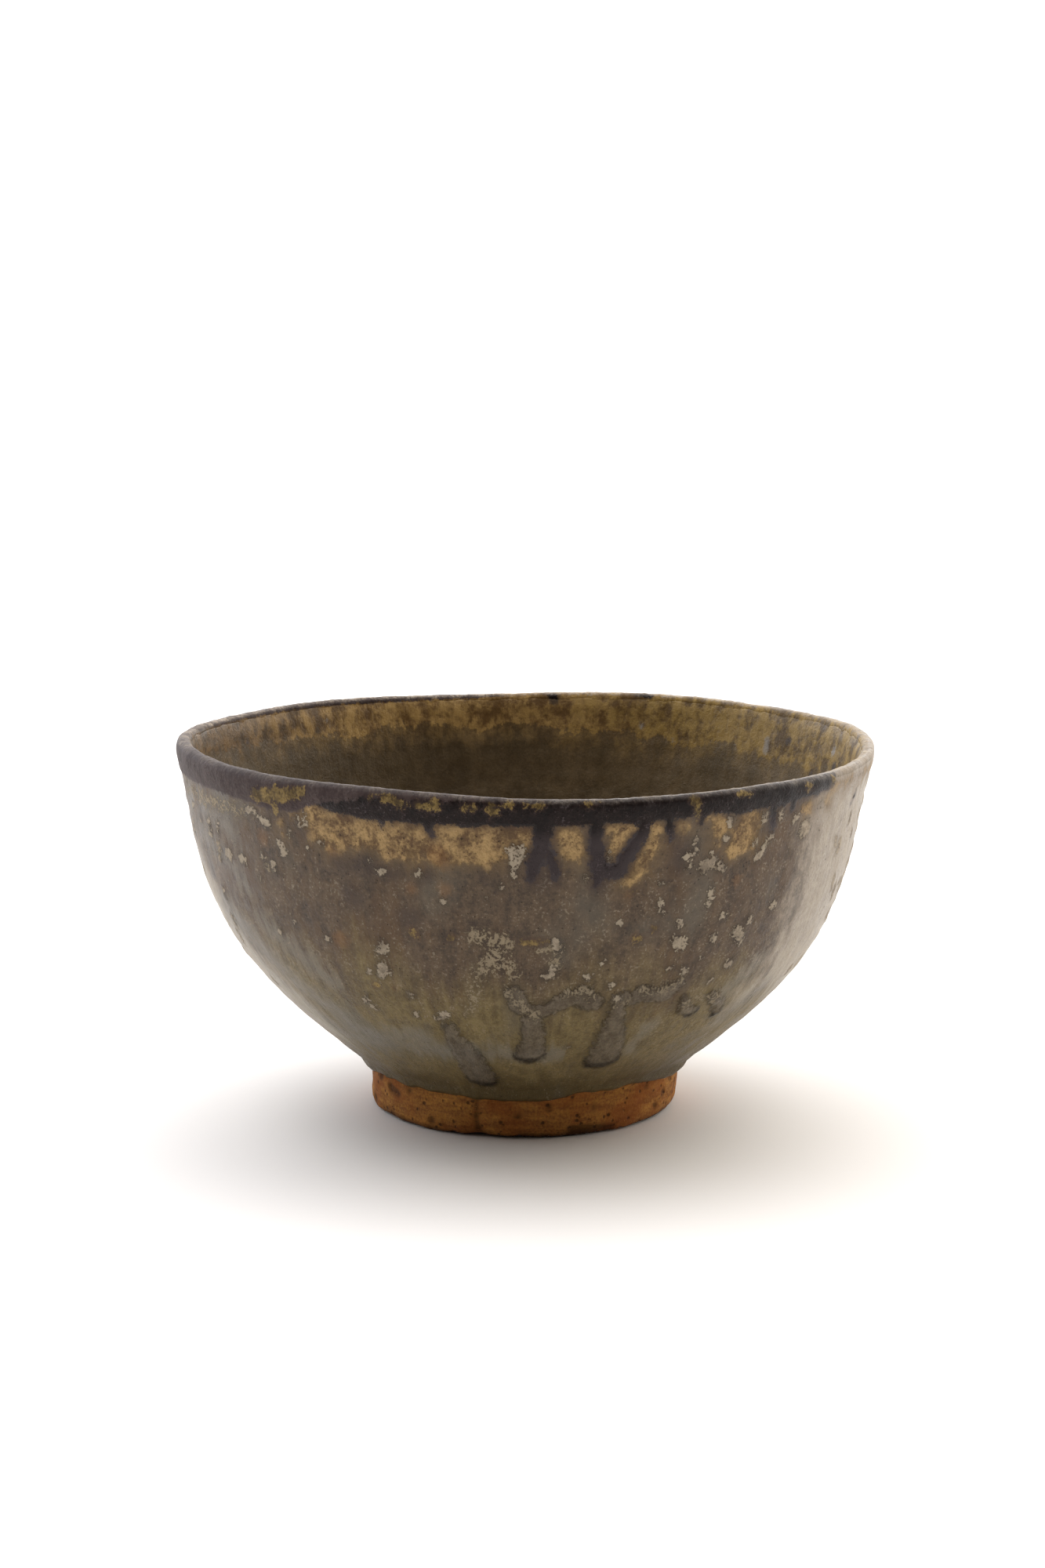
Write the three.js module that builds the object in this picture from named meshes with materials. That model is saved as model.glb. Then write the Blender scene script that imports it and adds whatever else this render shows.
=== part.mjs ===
// A matcha bowl: a thrown stoneware bowl on a joined foot ring, with an outer glaze,
// an inner glaze and a darker iron glaze over the lip. Millimetres, +Z up.
// The origin is the centre of the foot, on the surface that the bowl stands on.
import * as THREE from 'three';

// Overall sizes
const rimRadius = 62;
const bowlHeight = 66;

// Lip and wall; each thickness includes the glaze on both sides
const lipThickness = 2.4;
const rimFlare = 14; // degrees that the wall leans out at the lip
const wallThickness = 5.2; // low on the wall, where it turns in to the foot
const floorThickness = 5.5; // at the centre of the bowl

// The wall climbs from the foot, rounds up to the neck, and flares from there to the lip
const wallRise = 39; // degrees above level where it leaves the foot
const neckDrop = 11; // how far the neck is below the lip
const neckInset = 2.2; // and how far inside the rim
const neckLean = 9; // degrees that the wall leans out at the neck
const risePull = 0.4; // how long it keeps climbing, as a share of the way to the neck
const neckPull = 0.45; // and how long it has been upright before the neck

// Foot ring
const footRadius = 27.4;
const footHeight = 7.6;
const footThickness = 5.6;
const footRounding = 1.5; // outer bottom edge
const footChamfer = 0.8; // inner bottom edge

// Trimming bump left under the centre of the floor
const bumpRadius = 5;
const bumpHeight = 1.2;

// Glaze
const glazeThickness = 0.5;
const rimBandOutside = 4; // how far the lip glaze comes down outside, along the surface
const rimBandInside = 2; // and inside

// Pieces that are fused on the real bowl stand this far apart
const seam = 0.3;

// Fineness of the turned shapes
const facetsAround = 48;
const wallSteps = 14;
const lipSteps = 6;
const floorSteps = 6;
const roundingSteps = 3;

const underside = footHeight + seam; // flat base of the bowl above the foot ring
const floorTop = underside + floorThickness;
const lipRadius = lipThickness / 2;
const flareAngle = THREE.MathUtils.degToRad(rimFlare);
const clayDepth = glazeThickness + seam; // how deep the clay lies under the finished surface

// A point at an angle on a circle
function onCircle(centre, radius, angle) {
  return new THREE.Vector2(
    centre.x + radius * Math.cos(angle),
    centre.y + radius * Math.sin(angle),
  );
}

// A direction so many degrees above level
function heading(degrees) {
  return onCircle(new THREE.Vector2(), 1, THREE.MathUtils.degToRad(degrees));
}

// A curve between two points that leaves and arrives in two directions; each pull is how
// long it keeps one of them, as a share of the distance
function sweep(start, leaving, startPull, end, arriving, endPull) {
  const distance = start.distanceTo(end);
  return new THREE.CubicBezierCurve(
    start,
    start.clone().addScaledVector(leaving, startPull * distance),
    end.clone().addScaledVector(arriving, -endPull * distance),
    end,
  );
}

// The finished surface's outline, x out from the axis and y up: up the outside from the
// foot, over the lip, down the inside and in to the centre of the floor.
function finishedOutline() {
  const lipCentre = new THREE.Vector2(rimRadius - lipRadius, bowlHeight - lipRadius);
  const wallFoot = new THREE.Vector2(footRadius + glazeThickness, underside);
  const wallTop = onCircle(lipCentre, lipRadius, -flareAngle);
  const neck = new THREE.Vector2(rimRadius - neckInset, bowlHeight - neckDrop);
  const atNeck = heading(90 - neckLean);
  const flarePull = 1 / 3;
  const wall = new THREE.CurvePath();
  wall.add(sweep(wallFoot, heading(wallRise), risePull, neck, atNeck, neckPull));
  wall.add(sweep(neck, atNeck, flarePull, wallTop, heading(90 - rimFlare), flarePull));

  const outline = wall.getSpacedPoints(wallSteps);
  for (let step = 1; step <= lipSteps; step += 1) {
    outline.push(onCircle(lipCentre, lipRadius, Math.PI * step / lipSteps - flareAngle));
  }

  // The inside follows the outside at the wall's thickness until the floor begins
  const floorStart = 0.2; // share of the wall's length, from the foot
  for (let step = wallSteps - 1; step / wallSteps > floorStart; step -= 1) {
    const share = step / wallSteps;
    const along = wall.getTangentAt(share);
    const thickness = THREE.MathUtils.lerp(wallThickness, lipThickness, share);
    outline.push(wall.getPointAt(share).add(new THREE.Vector2(-along.y, along.x).multiplyScalar(thickness)));
  }

  // The floor leaves the wall along its slope and comes level at the axis
  const wallEnd = outline.at(-1);
  const slope = wallEnd.clone().sub(outline.at(-2)).normalize();
  const drop = wallEnd.y - floorTop;
  const floor = new THREE.CubicBezierCurve(
    wallEnd,
    wallEnd.clone().addScaledVector(slope, Math.abs(drop / slope.y) * 0.6),
    new THREE.Vector2(wallEnd.x * 0.45, floorTop),
    new THREE.Vector2(0, floorTop),
  );
  return [...outline, ...floor.getPoints(floorSteps).slice(1)];
}

const outline = finishedOutline();
const reach = [0]; // length along the outline up to each point
for (let i = 1; i < outline.length; i += 1) {
  reach.push(reach[i - 1] + outline[i].distanceTo(outline[i - 1]));
}

// Away from the clay, square to the outline
const facing = outline.map((point, i) => {
  if (i === outline.length - 1) {
    return new THREE.Vector2(0, 1);
  }
  const along = outline[i + 1].clone().sub(outline[Math.max(i - 1, 0)]).normalize();
  return new THREE.Vector2(along.y, -along.x);
});

// The outline from one length along it to another, moved in by a depth
function sunk(depth, from = 0, to = reach.at(-1)) {
  const at = (length) => {
    const next = Math.max(1, reach.findIndex((value) => value >= length));
    const share = (length - reach[next - 1]) / (reach[next] - reach[next - 1]);
    const point = outline[next - 1].clone().lerp(outline[next], share);
    const out = facing[next - 1].clone().lerp(facing[next], share).normalize();
    return point.addScaledVector(out, -depth);
  };
  const tooClose = 0.2; // points nearer an end than this would make slivers
  const between = outline.map((point, i) => point.clone().addScaledVector(facing[i], -depth))
    .filter((point, i) => reach[i] > from + tooClose && reach[i] < to - tooClose);
  return [at(from), ...between, at(to)];
}

// A glaze coat between two lengths along the outline. One that reaches the centre of the
// floor starts and ends on the axis, and any other closes on itself.
function coat(from, to) {
  const back = sunk(glazeThickness, from, to).reverse();
  const profile = [...back, ...sunk(0, from, to)];
  if (to < reach.at(-1)) {
    profile.push(profile[0].clone());
  }
  return profile;
}

// A mesh turned about the vertical axis from its outline, given the outside first
function turned(name, profile, colour, roughness) {
  const geometry = new THREE.LatheGeometry(profile, facetsAround);
  geometry.rotateX(Math.PI / 2);
  const material = new THREE.MeshStandardMaterial({ color: colour, roughness, metalness: 0 });
  const mesh = new THREE.Mesh(geometry, material);
  mesh.name = name;
  return mesh;
}

function stonewareBowl() {
  const base = [
    new THREE.Vector2(0, underside - bumpHeight),
    new THREE.Vector2(bumpRadius * 0.4, underside - bumpHeight * 0.9),
    new THREE.Vector2(bumpRadius, underside),
    new THREE.Vector2(footRadius - seam, underside),
  ];
  return turned('stoneware_bowl', [...base, ...sunk(clayDepth)], 0x6f4a2c, 0.9);
}

function footRing() {
  const inner = footRadius - footThickness;
  const roundingCentre = new THREE.Vector2(footRadius - footRounding, footRounding);
  const profile = [new THREE.Vector2(inner + footChamfer, 0)];
  for (let step = 0; step <= roundingSteps; step += 1) {
    const angle = Math.PI / 2 * (step / roundingSteps - 1);
    profile.push(onCircle(roundingCentre, footRounding, angle));
  }
  profile.push(
    new THREE.Vector2(footRadius, footHeight),
    new THREE.Vector2(inner, footHeight),
    new THREE.Vector2(inner, footChamfer),
    profile[0].clone(),
  );
  return turned('foot_ring', profile, 0x7a4c29, 0.9);
}

const lipMiddle = reach[wallSteps + lipSteps / 2];
const rimStart = lipMiddle - rimBandOutside;
const rimEnd = lipMiddle + rimBandInside;

const bowl = new THREE.Group();
bowl.add(
  stonewareBowl(),
  footRing(),
  turned('outer_glaze', coat(0, rimStart - seam), 0x5c4e39, 0.35),
  turned('inner_glaze', coat(rimEnd + seam, reach.at(-1)), 0x4b3f2b, 0.35),
  turned('rim_glaze', coat(rimStart, rimEnd), 0x39342f, 0.45),
);

export default bowl;
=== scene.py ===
# A matcha bowl thrown in stoneware, with ash glaze outside and inside and iron glaze over the lip.
# Lengths are in mm until a mesh is made. Degrees around the bowl start at its front and grow to its right.
# drop is the length along the finished surface from the crest of the lip: positive outside, negative inside.
import math
import bmesh
import bpy
import numpy as np
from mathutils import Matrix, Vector, noise


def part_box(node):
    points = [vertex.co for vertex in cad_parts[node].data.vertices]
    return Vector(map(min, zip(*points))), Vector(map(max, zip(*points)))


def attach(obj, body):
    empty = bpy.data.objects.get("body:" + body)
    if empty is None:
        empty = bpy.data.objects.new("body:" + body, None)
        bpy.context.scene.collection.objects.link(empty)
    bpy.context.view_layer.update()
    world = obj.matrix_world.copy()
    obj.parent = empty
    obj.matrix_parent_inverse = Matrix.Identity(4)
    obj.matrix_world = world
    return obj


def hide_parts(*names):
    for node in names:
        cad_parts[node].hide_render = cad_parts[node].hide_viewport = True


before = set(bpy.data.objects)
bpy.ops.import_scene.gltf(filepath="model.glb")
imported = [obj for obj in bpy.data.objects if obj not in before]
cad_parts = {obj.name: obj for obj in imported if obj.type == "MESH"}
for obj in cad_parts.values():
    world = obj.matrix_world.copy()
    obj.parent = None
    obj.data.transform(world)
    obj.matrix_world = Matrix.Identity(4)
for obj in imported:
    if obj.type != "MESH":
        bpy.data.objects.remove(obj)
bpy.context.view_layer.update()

mm = 0.001
scene = bpy.context.scene
scene.view_settings.view_transform = "Standard"

camera = {
    "lens": 78.6,
    "away": 600,      # in front of the bowl's axis
    "height": 166.3,
    "aside": -0.25,
    "down": 10.25,    # degrees
}


def makeCamera(s):
    data = bpy.data.cameras.new("camera")
    data.lens = s["lens"]
    data.sensor_fit = "VERTICAL"
    data.sensor_height = 36
    data.clip_end = 50
    eye = bpy.data.objects.new("camera", data)
    eye.location = Vector((s["aside"], -s["away"], s["height"])) * mm
    eye.rotation_euler = (math.radians(90 - s["down"]), 0, 0)
    scene.collection.objects.link(eye)
    scene.camera = eye


makeCamera(camera)
print("camera placed")


# The finished surface is read from the shown sides of the three CAD coats
def cadSection(node):
    # outline of a turned node in the half plane through +X, as (radius, height) in walking order
    weld = 2e-6
    work = bmesh.new()
    work.from_mesh(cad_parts[node].data)
    bmesh.ops.remove_doubles(work, verts=work.verts, dist=weld)
    onPlane = {v for v in work.verts if abs(v.co.y) < weld * 5 and v.co.x > -weld / 2}
    links = {v: [e.other_vert(v) for e in v.link_edges if e.other_vert(v) in onPlane] for v in onPlane}
    here = min(onPlane, key=lambda v: (len(links[v]), v.co.z))
    walked = [here]
    while len(walked) <= len(onPlane):
        onward = [v for v in links[here] if v not in walked[-2:] and v is not walked[0]]
        if not onward:
            break
        here = onward[0]
        walked.append(here)
    outline = np.array([(v.co.x / mm, v.co.z / mm) for v in walked])
    work.free()
    return outline


def distanceTo(points, line):
    # from each point to a line of points
    best = np.full(len(points), np.inf)
    for a, b in zip(line[:-1], line[1:]):
        along = b - a
        share = np.clip(((points - a) @ along) / max(along @ along, 1e-12), 0, 1)
        best = np.minimum(best, np.linalg.norm(points - a - share[:, None] * along, axis=1))
    return best


def shownSide(node, clay):
    # the points of a coat that face away from the clay, in walking order
    outline = cadSection(node)
    againstClay = 0.55
    shown = distanceTo(outline, clay) > againstClay
    if shown.all():
        return outline
    first = next(i for i in range(len(outline)) if shown[i] and not shown[i - 1])
    turned = np.roll(outline, -first, axis=0)
    return turned[np.roll(shown, -first)]


def readSurface():
    # its points from the foot to the centre of the floor, and the drop at each
    clay = cadSection("stoneware_bowl")
    outside, lip, inside = (shownSide(node, clay) for node in ("outer_glaze", "rim_glaze", "inner_glaze"))
    if outside[0, 1] > outside[-1, 1]:
        outside = outside[::-1]
    if lip[0, 0] < lip[-1, 0]:
        lip = lip[::-1]
    if inside[0, 1] < inside[-1, 1]:
        inside = inside[::-1]
    knots = np.vstack([outside, lip, inside])
    tooClose = 0.45
    keep = [0]
    for i in range(1, len(knots)):
        if np.linalg.norm(knots[i] - knots[keep[-1]]) > tooClose:
            keep.append(i)
    knots = knots[keep]
    knots[-1, 0] = 0
    run = np.concatenate([[0], np.cumsum(np.linalg.norm(np.diff(knots, axis=0), axis=1))])
    crest = run[np.argmax(knots[:, 1])]
    return knots, crest - run


surfaceKnots, surfaceDrops = readSurface()
footDrop = surfaceDrops[0]
centreDrop = surfaceDrops[-1]
rimRadius = surfaceKnots[:, 0].max()
rimHeight = surfaceKnots[:, 1].max()
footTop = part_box("foot_ring")[1].z / mm
print("finished surface runs from", round(footDrop, 1), "to", round(centreDrop, 1), "mm from the lip")


def onSurface(drop, sunk=0.0):
    # (radius, height) at a drop, on a smooth curve through the knots, moved in by a depth
    run = footDrop - np.asarray(drop, float)
    length = footDrop - surfaceDrops
    slope = np.gradient(surfaceKnots, length, axis=0)
    slope[-1] = (slope[-1][0], 0)
    i = np.clip(np.searchsorted(length, run, side="right") - 1, 0, len(length) - 2)
    span = (length[i + 1] - length[i])[:, None]
    t = ((run - length[i]) / span[:, 0])[:, None]
    a, b = surfaceKnots[i], surfaceKnots[i + 1]
    leaving, arriving = slope[i] * span, slope[i + 1] * span
    place = ((2 * t**3 - 3 * t**2 + 1) * a + (t**3 - 2 * t**2 + t) * leaving
             + (3 * t**2 - 2 * t**3) * b + (t**3 - t**2) * arriving)
    along = ((6 * t**2 - 6 * t) * a + (3 * t**2 - 4 * t + 1) * leaving
             + (6 * t - 6 * t**2) * b + (3 * t**2 - 2 * t) * arriving)
    along /= np.linalg.norm(along, axis=1)[:, None]
    out = np.stack([along[:, 1], -along[:, 0]], axis=1)
    return place - out * sunk


# Hand-thrown sway, shared by every piece so that they stay nested; these are the inputs of the tree below
thrown = {
    "Tilt across": -0.43,    # lip height, cosine and sine of once around
    "Tilt along": -0.76,
    "Warp cosine": 0.34,     # twice around
    "Warp sine": 0.41,
    "Ripple": 0.22,          # six times around
    "Ripple turn": math.radians(112),
    "Pinch": 0.9,            # how far the lip's left side is drawn in
    "Lean": 0.42,            # how far the lower wall leans to the right
    "Dents": 0.2,            # soft dents left by the fingers
    "Dent size": 17.0,
    "Rings": 0.02,           # throwing rings
    "Ring pitch": 3.4,
}


def add(tree, kind, *given, out=0, **settings):
    # adds a node, sets it, fills its inputs in order or by name, and gives back one of its outputs
    family = "" if kind.startswith(("GeometryNode", "NodeGroup")) else "ShaderNode"
    node = tree.nodes.new(family + kind)
    for name, value in settings.items():
        setattr(node, name, value)
    inputs = given[0] if given and isinstance(given[0], dict) else dict(enumerate(given))
    for name, value in inputs.items():
        if isinstance(value, bpy.types.NodeSocket):
            tree.links.new(value, node.inputs[name])
        else:
            node.inputs[name].default_value = value
    return node.outputs[out] if node.outputs else None


def total(tree, *parts):
    # adds values up, each given with its share
    result = 0.0
    for value, share in parts:
        result = add(tree, "Math", value, share, result, operation="MULTIPLY_ADD")
    return result


def turningTree():
    # turns an outline of points about the vertical axis and gives it the sway of hand throwing
    tree = bpy.data.node_groups.new("turned and swayed", "GeometryNodeTree")
    inputs = {"Outline": "Geometry", "Rows": "Int", "Columns": "Int", **dict.fromkeys(thrown, "Float"),
              "Full height": "Float", "Finish": "Material"}
    for name, kind in inputs.items():
        tree.interface.new_socket(name, in_out="INPUT", socket_type="NodeSocket" + kind)
    tree.interface.new_socket("Geometry", in_out="OUTPUT", socket_type="NodeSocketGeometry")
    given = tree.nodes.new("NodeGroupInput").outputs

    # a flat sheet with a row for each point of the outline, one unit wide and high
    columns = add(tree, "Math", given["Columns"], 1.0, operation="ADD")
    size = {"Size X": 1.0, "Size Y": 1.0, "Vertices X": columns, "Vertices Y": given["Rows"]}
    shape = add(tree, "GeometryNodeMeshGrid", size)
    place = add(tree, "GeometryNodeInputPosition")
    flat = add(tree, "SeparateXYZ", place).node.outputs
    lastRow = add(tree, "Math", given["Rows"], 1.0, operation="SUBTRACT")
    row = add(tree, "Math", flat["Y"], 0.5, operation="ADD")
    row = add(tree, "Math", row, lastRow, operation="MULTIPLY")
    row = add(tree, "Math", row, operation="ROUND")
    turn = add(tree, "Math", flat["X"], 0.5, operation="ADD")
    turn = add(tree, "Math", turn, 2 * math.pi, operation="MULTIPLY")
    cosine = add(tree, "Math", turn, operation="COSINE")
    sine = add(tree, "Math", turn, operation="SINE")

    def fromOutline(kind, value):
        inputs = {"Geometry": given["Outline"], "Value": value, "Index": row}
        return add(tree, "GeometryNodeSampleIndex", inputs, data_type=kind)

    point = add(tree, "SeparateXYZ", fromOutline("FLOAT_VECTOR", place)).node.outputs
    radius, height = point["X"], point["Z"]
    kept = {}
    for name in ("drop", "shown"):
        stored = add(tree, "GeometryNodeInputNamedAttribute", {"Name": name}, data_type="FLOAT")
        kept[name] = fromOutline("FLOAT", stored)

    # the height's sway grows up the wall, and the foot stays flat
    share = add(tree, "Math", height, given["Full height"], operation="DIVIDE")
    share = add(tree, "Math", share, 0.0, operation="MAXIMUM")
    growth = add(tree, "Math", share, 1.6, operation="POWER")
    twice = add(tree, "Math", turn, 2.0, operation="MULTIPLY")
    six = add(tree, "Math", turn, given["Ripple turn"], operation="ADD")
    six = add(tree, "Math", six, 6.0, operation="MULTIPLY")
    sway = total(tree, (cosine, given["Tilt across"]), (sine, given["Tilt along"]),
                 (add(tree, "Math", twice, operation="COSINE"), given["Warp cosine"]),
                 (add(tree, "Math", twice, operation="SINE"), given["Warp sine"]),
                 (add(tree, "Math", six, operation="COSINE"), given["Ripple"]))
    height = add(tree, "Math", sway, growth, height, operation="MULTIPLY_ADD")

    # soft dents and a spiral of throwing rings move the wall in and out, none at the axis or the table
    direction = add(tree, "CombineXYZ", cosine, sine)
    spot = add(tree, "VectorMath", {0: direction, "Scale": radius}, operation="SCALE")
    lifted = add(tree, "CombineXYZ", {2: add(tree, "Math", height, 1.7, operation="MULTIPLY")})
    spot = add(tree, "VectorMath", spot, lifted, operation="ADD")
    scale = add(tree, "Math", 1.0, given["Dent size"], operation="DIVIDE")
    dent = add(tree, "TexNoise", {"Vector": spot, "Scale": scale, "Detail": 2.0})
    dent = add(tree, "Math", dent, 0.5, operation="SUBTRACT")
    dent = add(tree, "Math", dent, given["Dents"], operation="MULTIPLY")
    phase = add(tree, "Math", height, 2 * math.pi, operation="MULTIPLY")
    phase = add(tree, "Math", phase, given["Ring pitch"], operation="DIVIDE")
    phase = add(tree, "Math", phase, turn, operation="ADD")
    ring = add(tree, "Math", phase, operation="SINE")
    bend = total(tree, (dent, 2.0), (ring, given["Rings"]))
    fadeWithin = 12.0
    fromAxis = add(tree, "Math", radius, fadeWithin, operation="DIVIDE")
    fromAxis = add(tree, "Math", fromAxis, 1.0, 0.3, operation="SMOOTH_MIN")
    fromTable = add(tree, "Math", height, fadeWithin, operation="DIVIDE")
    fromTable = add(tree, "Math", fromTable, 1.0, operation="MINIMUM")
    for fade in (fromAxis, fromTable):
        bend = add(tree, "Math", bend, fade, operation="MULTIPLY")
    radius = add(tree, "Math", radius, bend, operation="ADD")

    # the pinch is strongest at the left of the lip; the lean comes and goes below the neck
    leftward = add(tree, "Math", cosine, -0.5, 0.5, operation="MULTIPLY_ADD")
    pinch = add(tree, "Math", leftward, 2.0, operation="POWER")
    for part in (given["Pinch"], add(tree, "Math", share, 12.0, operation="POWER")):
        pinch = add(tree, "Math", pinch, part, operation="MULTIPLY")
    radius = add(tree, "Math", radius, pinch, operation="SUBTRACT")
    upright = 0.6    # share of the height above which nothing leans
    lean = add(tree, "Math", share, upright, operation="MINIMUM")
    lean = add(tree, "Math", lean, math.pi / upright, operation="MULTIPLY")
    lean = add(tree, "Math", lean, operation="SINE")
    lean = add(tree, "Math", lean, given["Lean"], operation="MULTIPLY")

    final = add(tree, "VectorMath", {0: direction, "Scale": radius}, operation="SCALE")
    final = add(tree, "VectorMath", final, add(tree, "CombineXYZ", {0: lean, 2: height}), operation="ADD")
    final = add(tree, "VectorMath", {0: final, "Scale": mm}, operation="SCALE")
    for name, value in kept.items():
        inputs = {"Geometry": shape, "Name": name, "Value": value}
        shape = add(tree, "GeometryNodeStoreNamedAttribute", inputs, data_type="FLOAT", domain="POINT")
    shape = add(tree, "GeometryNodeSetPosition", {"Geometry": shape, "Position": final})
    shape = add(tree, "GeometryNodeMergeByDistance", {"Geometry": shape, "Distance": 0.004 * mm})
    shape = add(tree, "GeometryNodeSetShadeSmooth", {"Geometry": shape, "Shade Smooth": True})
    shape = add(tree, "GeometryNodeRealizeInstances", {"Geometry": shape})
    shape = add(tree, "GeometryNodeSetMaterial", {"Geometry": shape, "Material": given["Finish"]})
    add(tree, "NodeGroupOutput", shape)
    return tree


turning = turningTree()


def turnedPiece(name, outline, drops, shown, columns, finish):
    # a closed shell turned from an outline; drops and shown are stored on it as attributes
    data = bpy.data.meshes.new(name + " outline")
    data.from_pydata([(r, 0, z) for r, z in outline], [(i, i + 1) for i in range(len(outline) - 1)], [])
    for key, values in (("drop", drops), ("shown", shown)):
        data.attributes.new(key, "FLOAT", "POINT").data.foreach_set("value", np.asarray(values, np.float32))
    source = bpy.data.objects.new(name + " outline", data)
    scene.collection.objects.link(source)
    turner = source.modifiers.new("turned", "NODES")
    turner.node_group = turning
    given = {"Rows": len(outline), "Columns": columns, **thrown, "Full height": float(rimHeight),
             "Finish": finish}
    for item in turning.interface.items_tree:
        if item.in_out == "INPUT" and item.name in given:
            turner[item.identifier] = given[item.name]
    source.update_tag()
    graph = bpy.context.evaluated_depsgraph_get()
    made = bpy.data.meshes.new_from_object(source.evaluated_get(graph), depsgraph=graph)
    source.modifiers.clear()
    bpy.data.objects.remove(source)
    made.name = name
    work = bmesh.new()
    work.from_mesh(made)
    bmesh.ops.recalc_face_normals(work, faces=work.faces)
    work.to_mesh(made)
    work.free()
    piece = bpy.data.objects.new(name, made)
    scene.collection.objects.link(piece)
    return piece


def readMesh(piece):
    # vertex places and normals, with the drop, the shown weight, degrees around from the front and the radius
    mesh = piece.data
    count = len(mesh.vertices)
    place = np.empty(count * 3, np.float32)
    mesh.vertices.foreach_get("co", place)
    normal = np.empty(count * 3, np.float32)
    mesh.vertex_normals.foreach_get("vector", normal)
    place = place.reshape(-1, 3).astype(float) / mm
    values = {}
    for key in ("drop", "shown"):
        read = np.empty(count, np.float32)
        mesh.attributes[key].data.foreach_get("value", read)
        values[key] = read.astype(float)
    values["around"] = np.degrees(np.arctan2(place[:, 0], -place[:, 1]))
    values["radius"] = np.hypot(place[:, 0], place[:, 1])
    return place, normal.reshape(-1, 3).astype(float), values


def storeFloats(piece, fields):
    for key, values in fields.items():
        stored = piece.data.attributes.new(key, "FLOAT", "POINT")
        stored.data.foreach_set("value", np.asarray(values, np.float32))


def storeWallSpace(piece, values):
    # a place on the unrolled wall, at the lip's radius and seamless around the bowl; deep inside, where
    # the wall turns in to the floor, it closes up with the surface
    angle = np.radians(values["around"])
    deep = smooth(-14, -30, values["drop"])
    spread = rimRadius * (1 - deep) + values["radius"] * deep
    spot = np.stack([np.sin(angle) * spread, -np.cos(angle) * spread, values["drop"]], axis=1)
    stored = piece.data.attributes.new("wallSpace", "FLOAT_VECTOR", "POINT")
    stored.data.foreach_set("vector", spot.astype(np.float32).ravel())


def movePoints(piece, place):
    piece.data.vertices.foreach_set("co", (place * mm).astype(np.float32).ravel())
    piece.data.update()


def smooth(low, high, x):
    t = np.clip((x - low) / (high - low), 0, 1)
    return t * t * (3 - 2 * t)


def roughNoise(place, size, seed, octaves=3):
    # fractal noise at points, about -1 to 1
    shift = Vector((seed * 17.3, seed * -9.1, seed * 5.7))
    return np.array([noise.fractal(Vector(p) / size + shift, 0.9, 2.0, octaves) for p in place])


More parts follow.
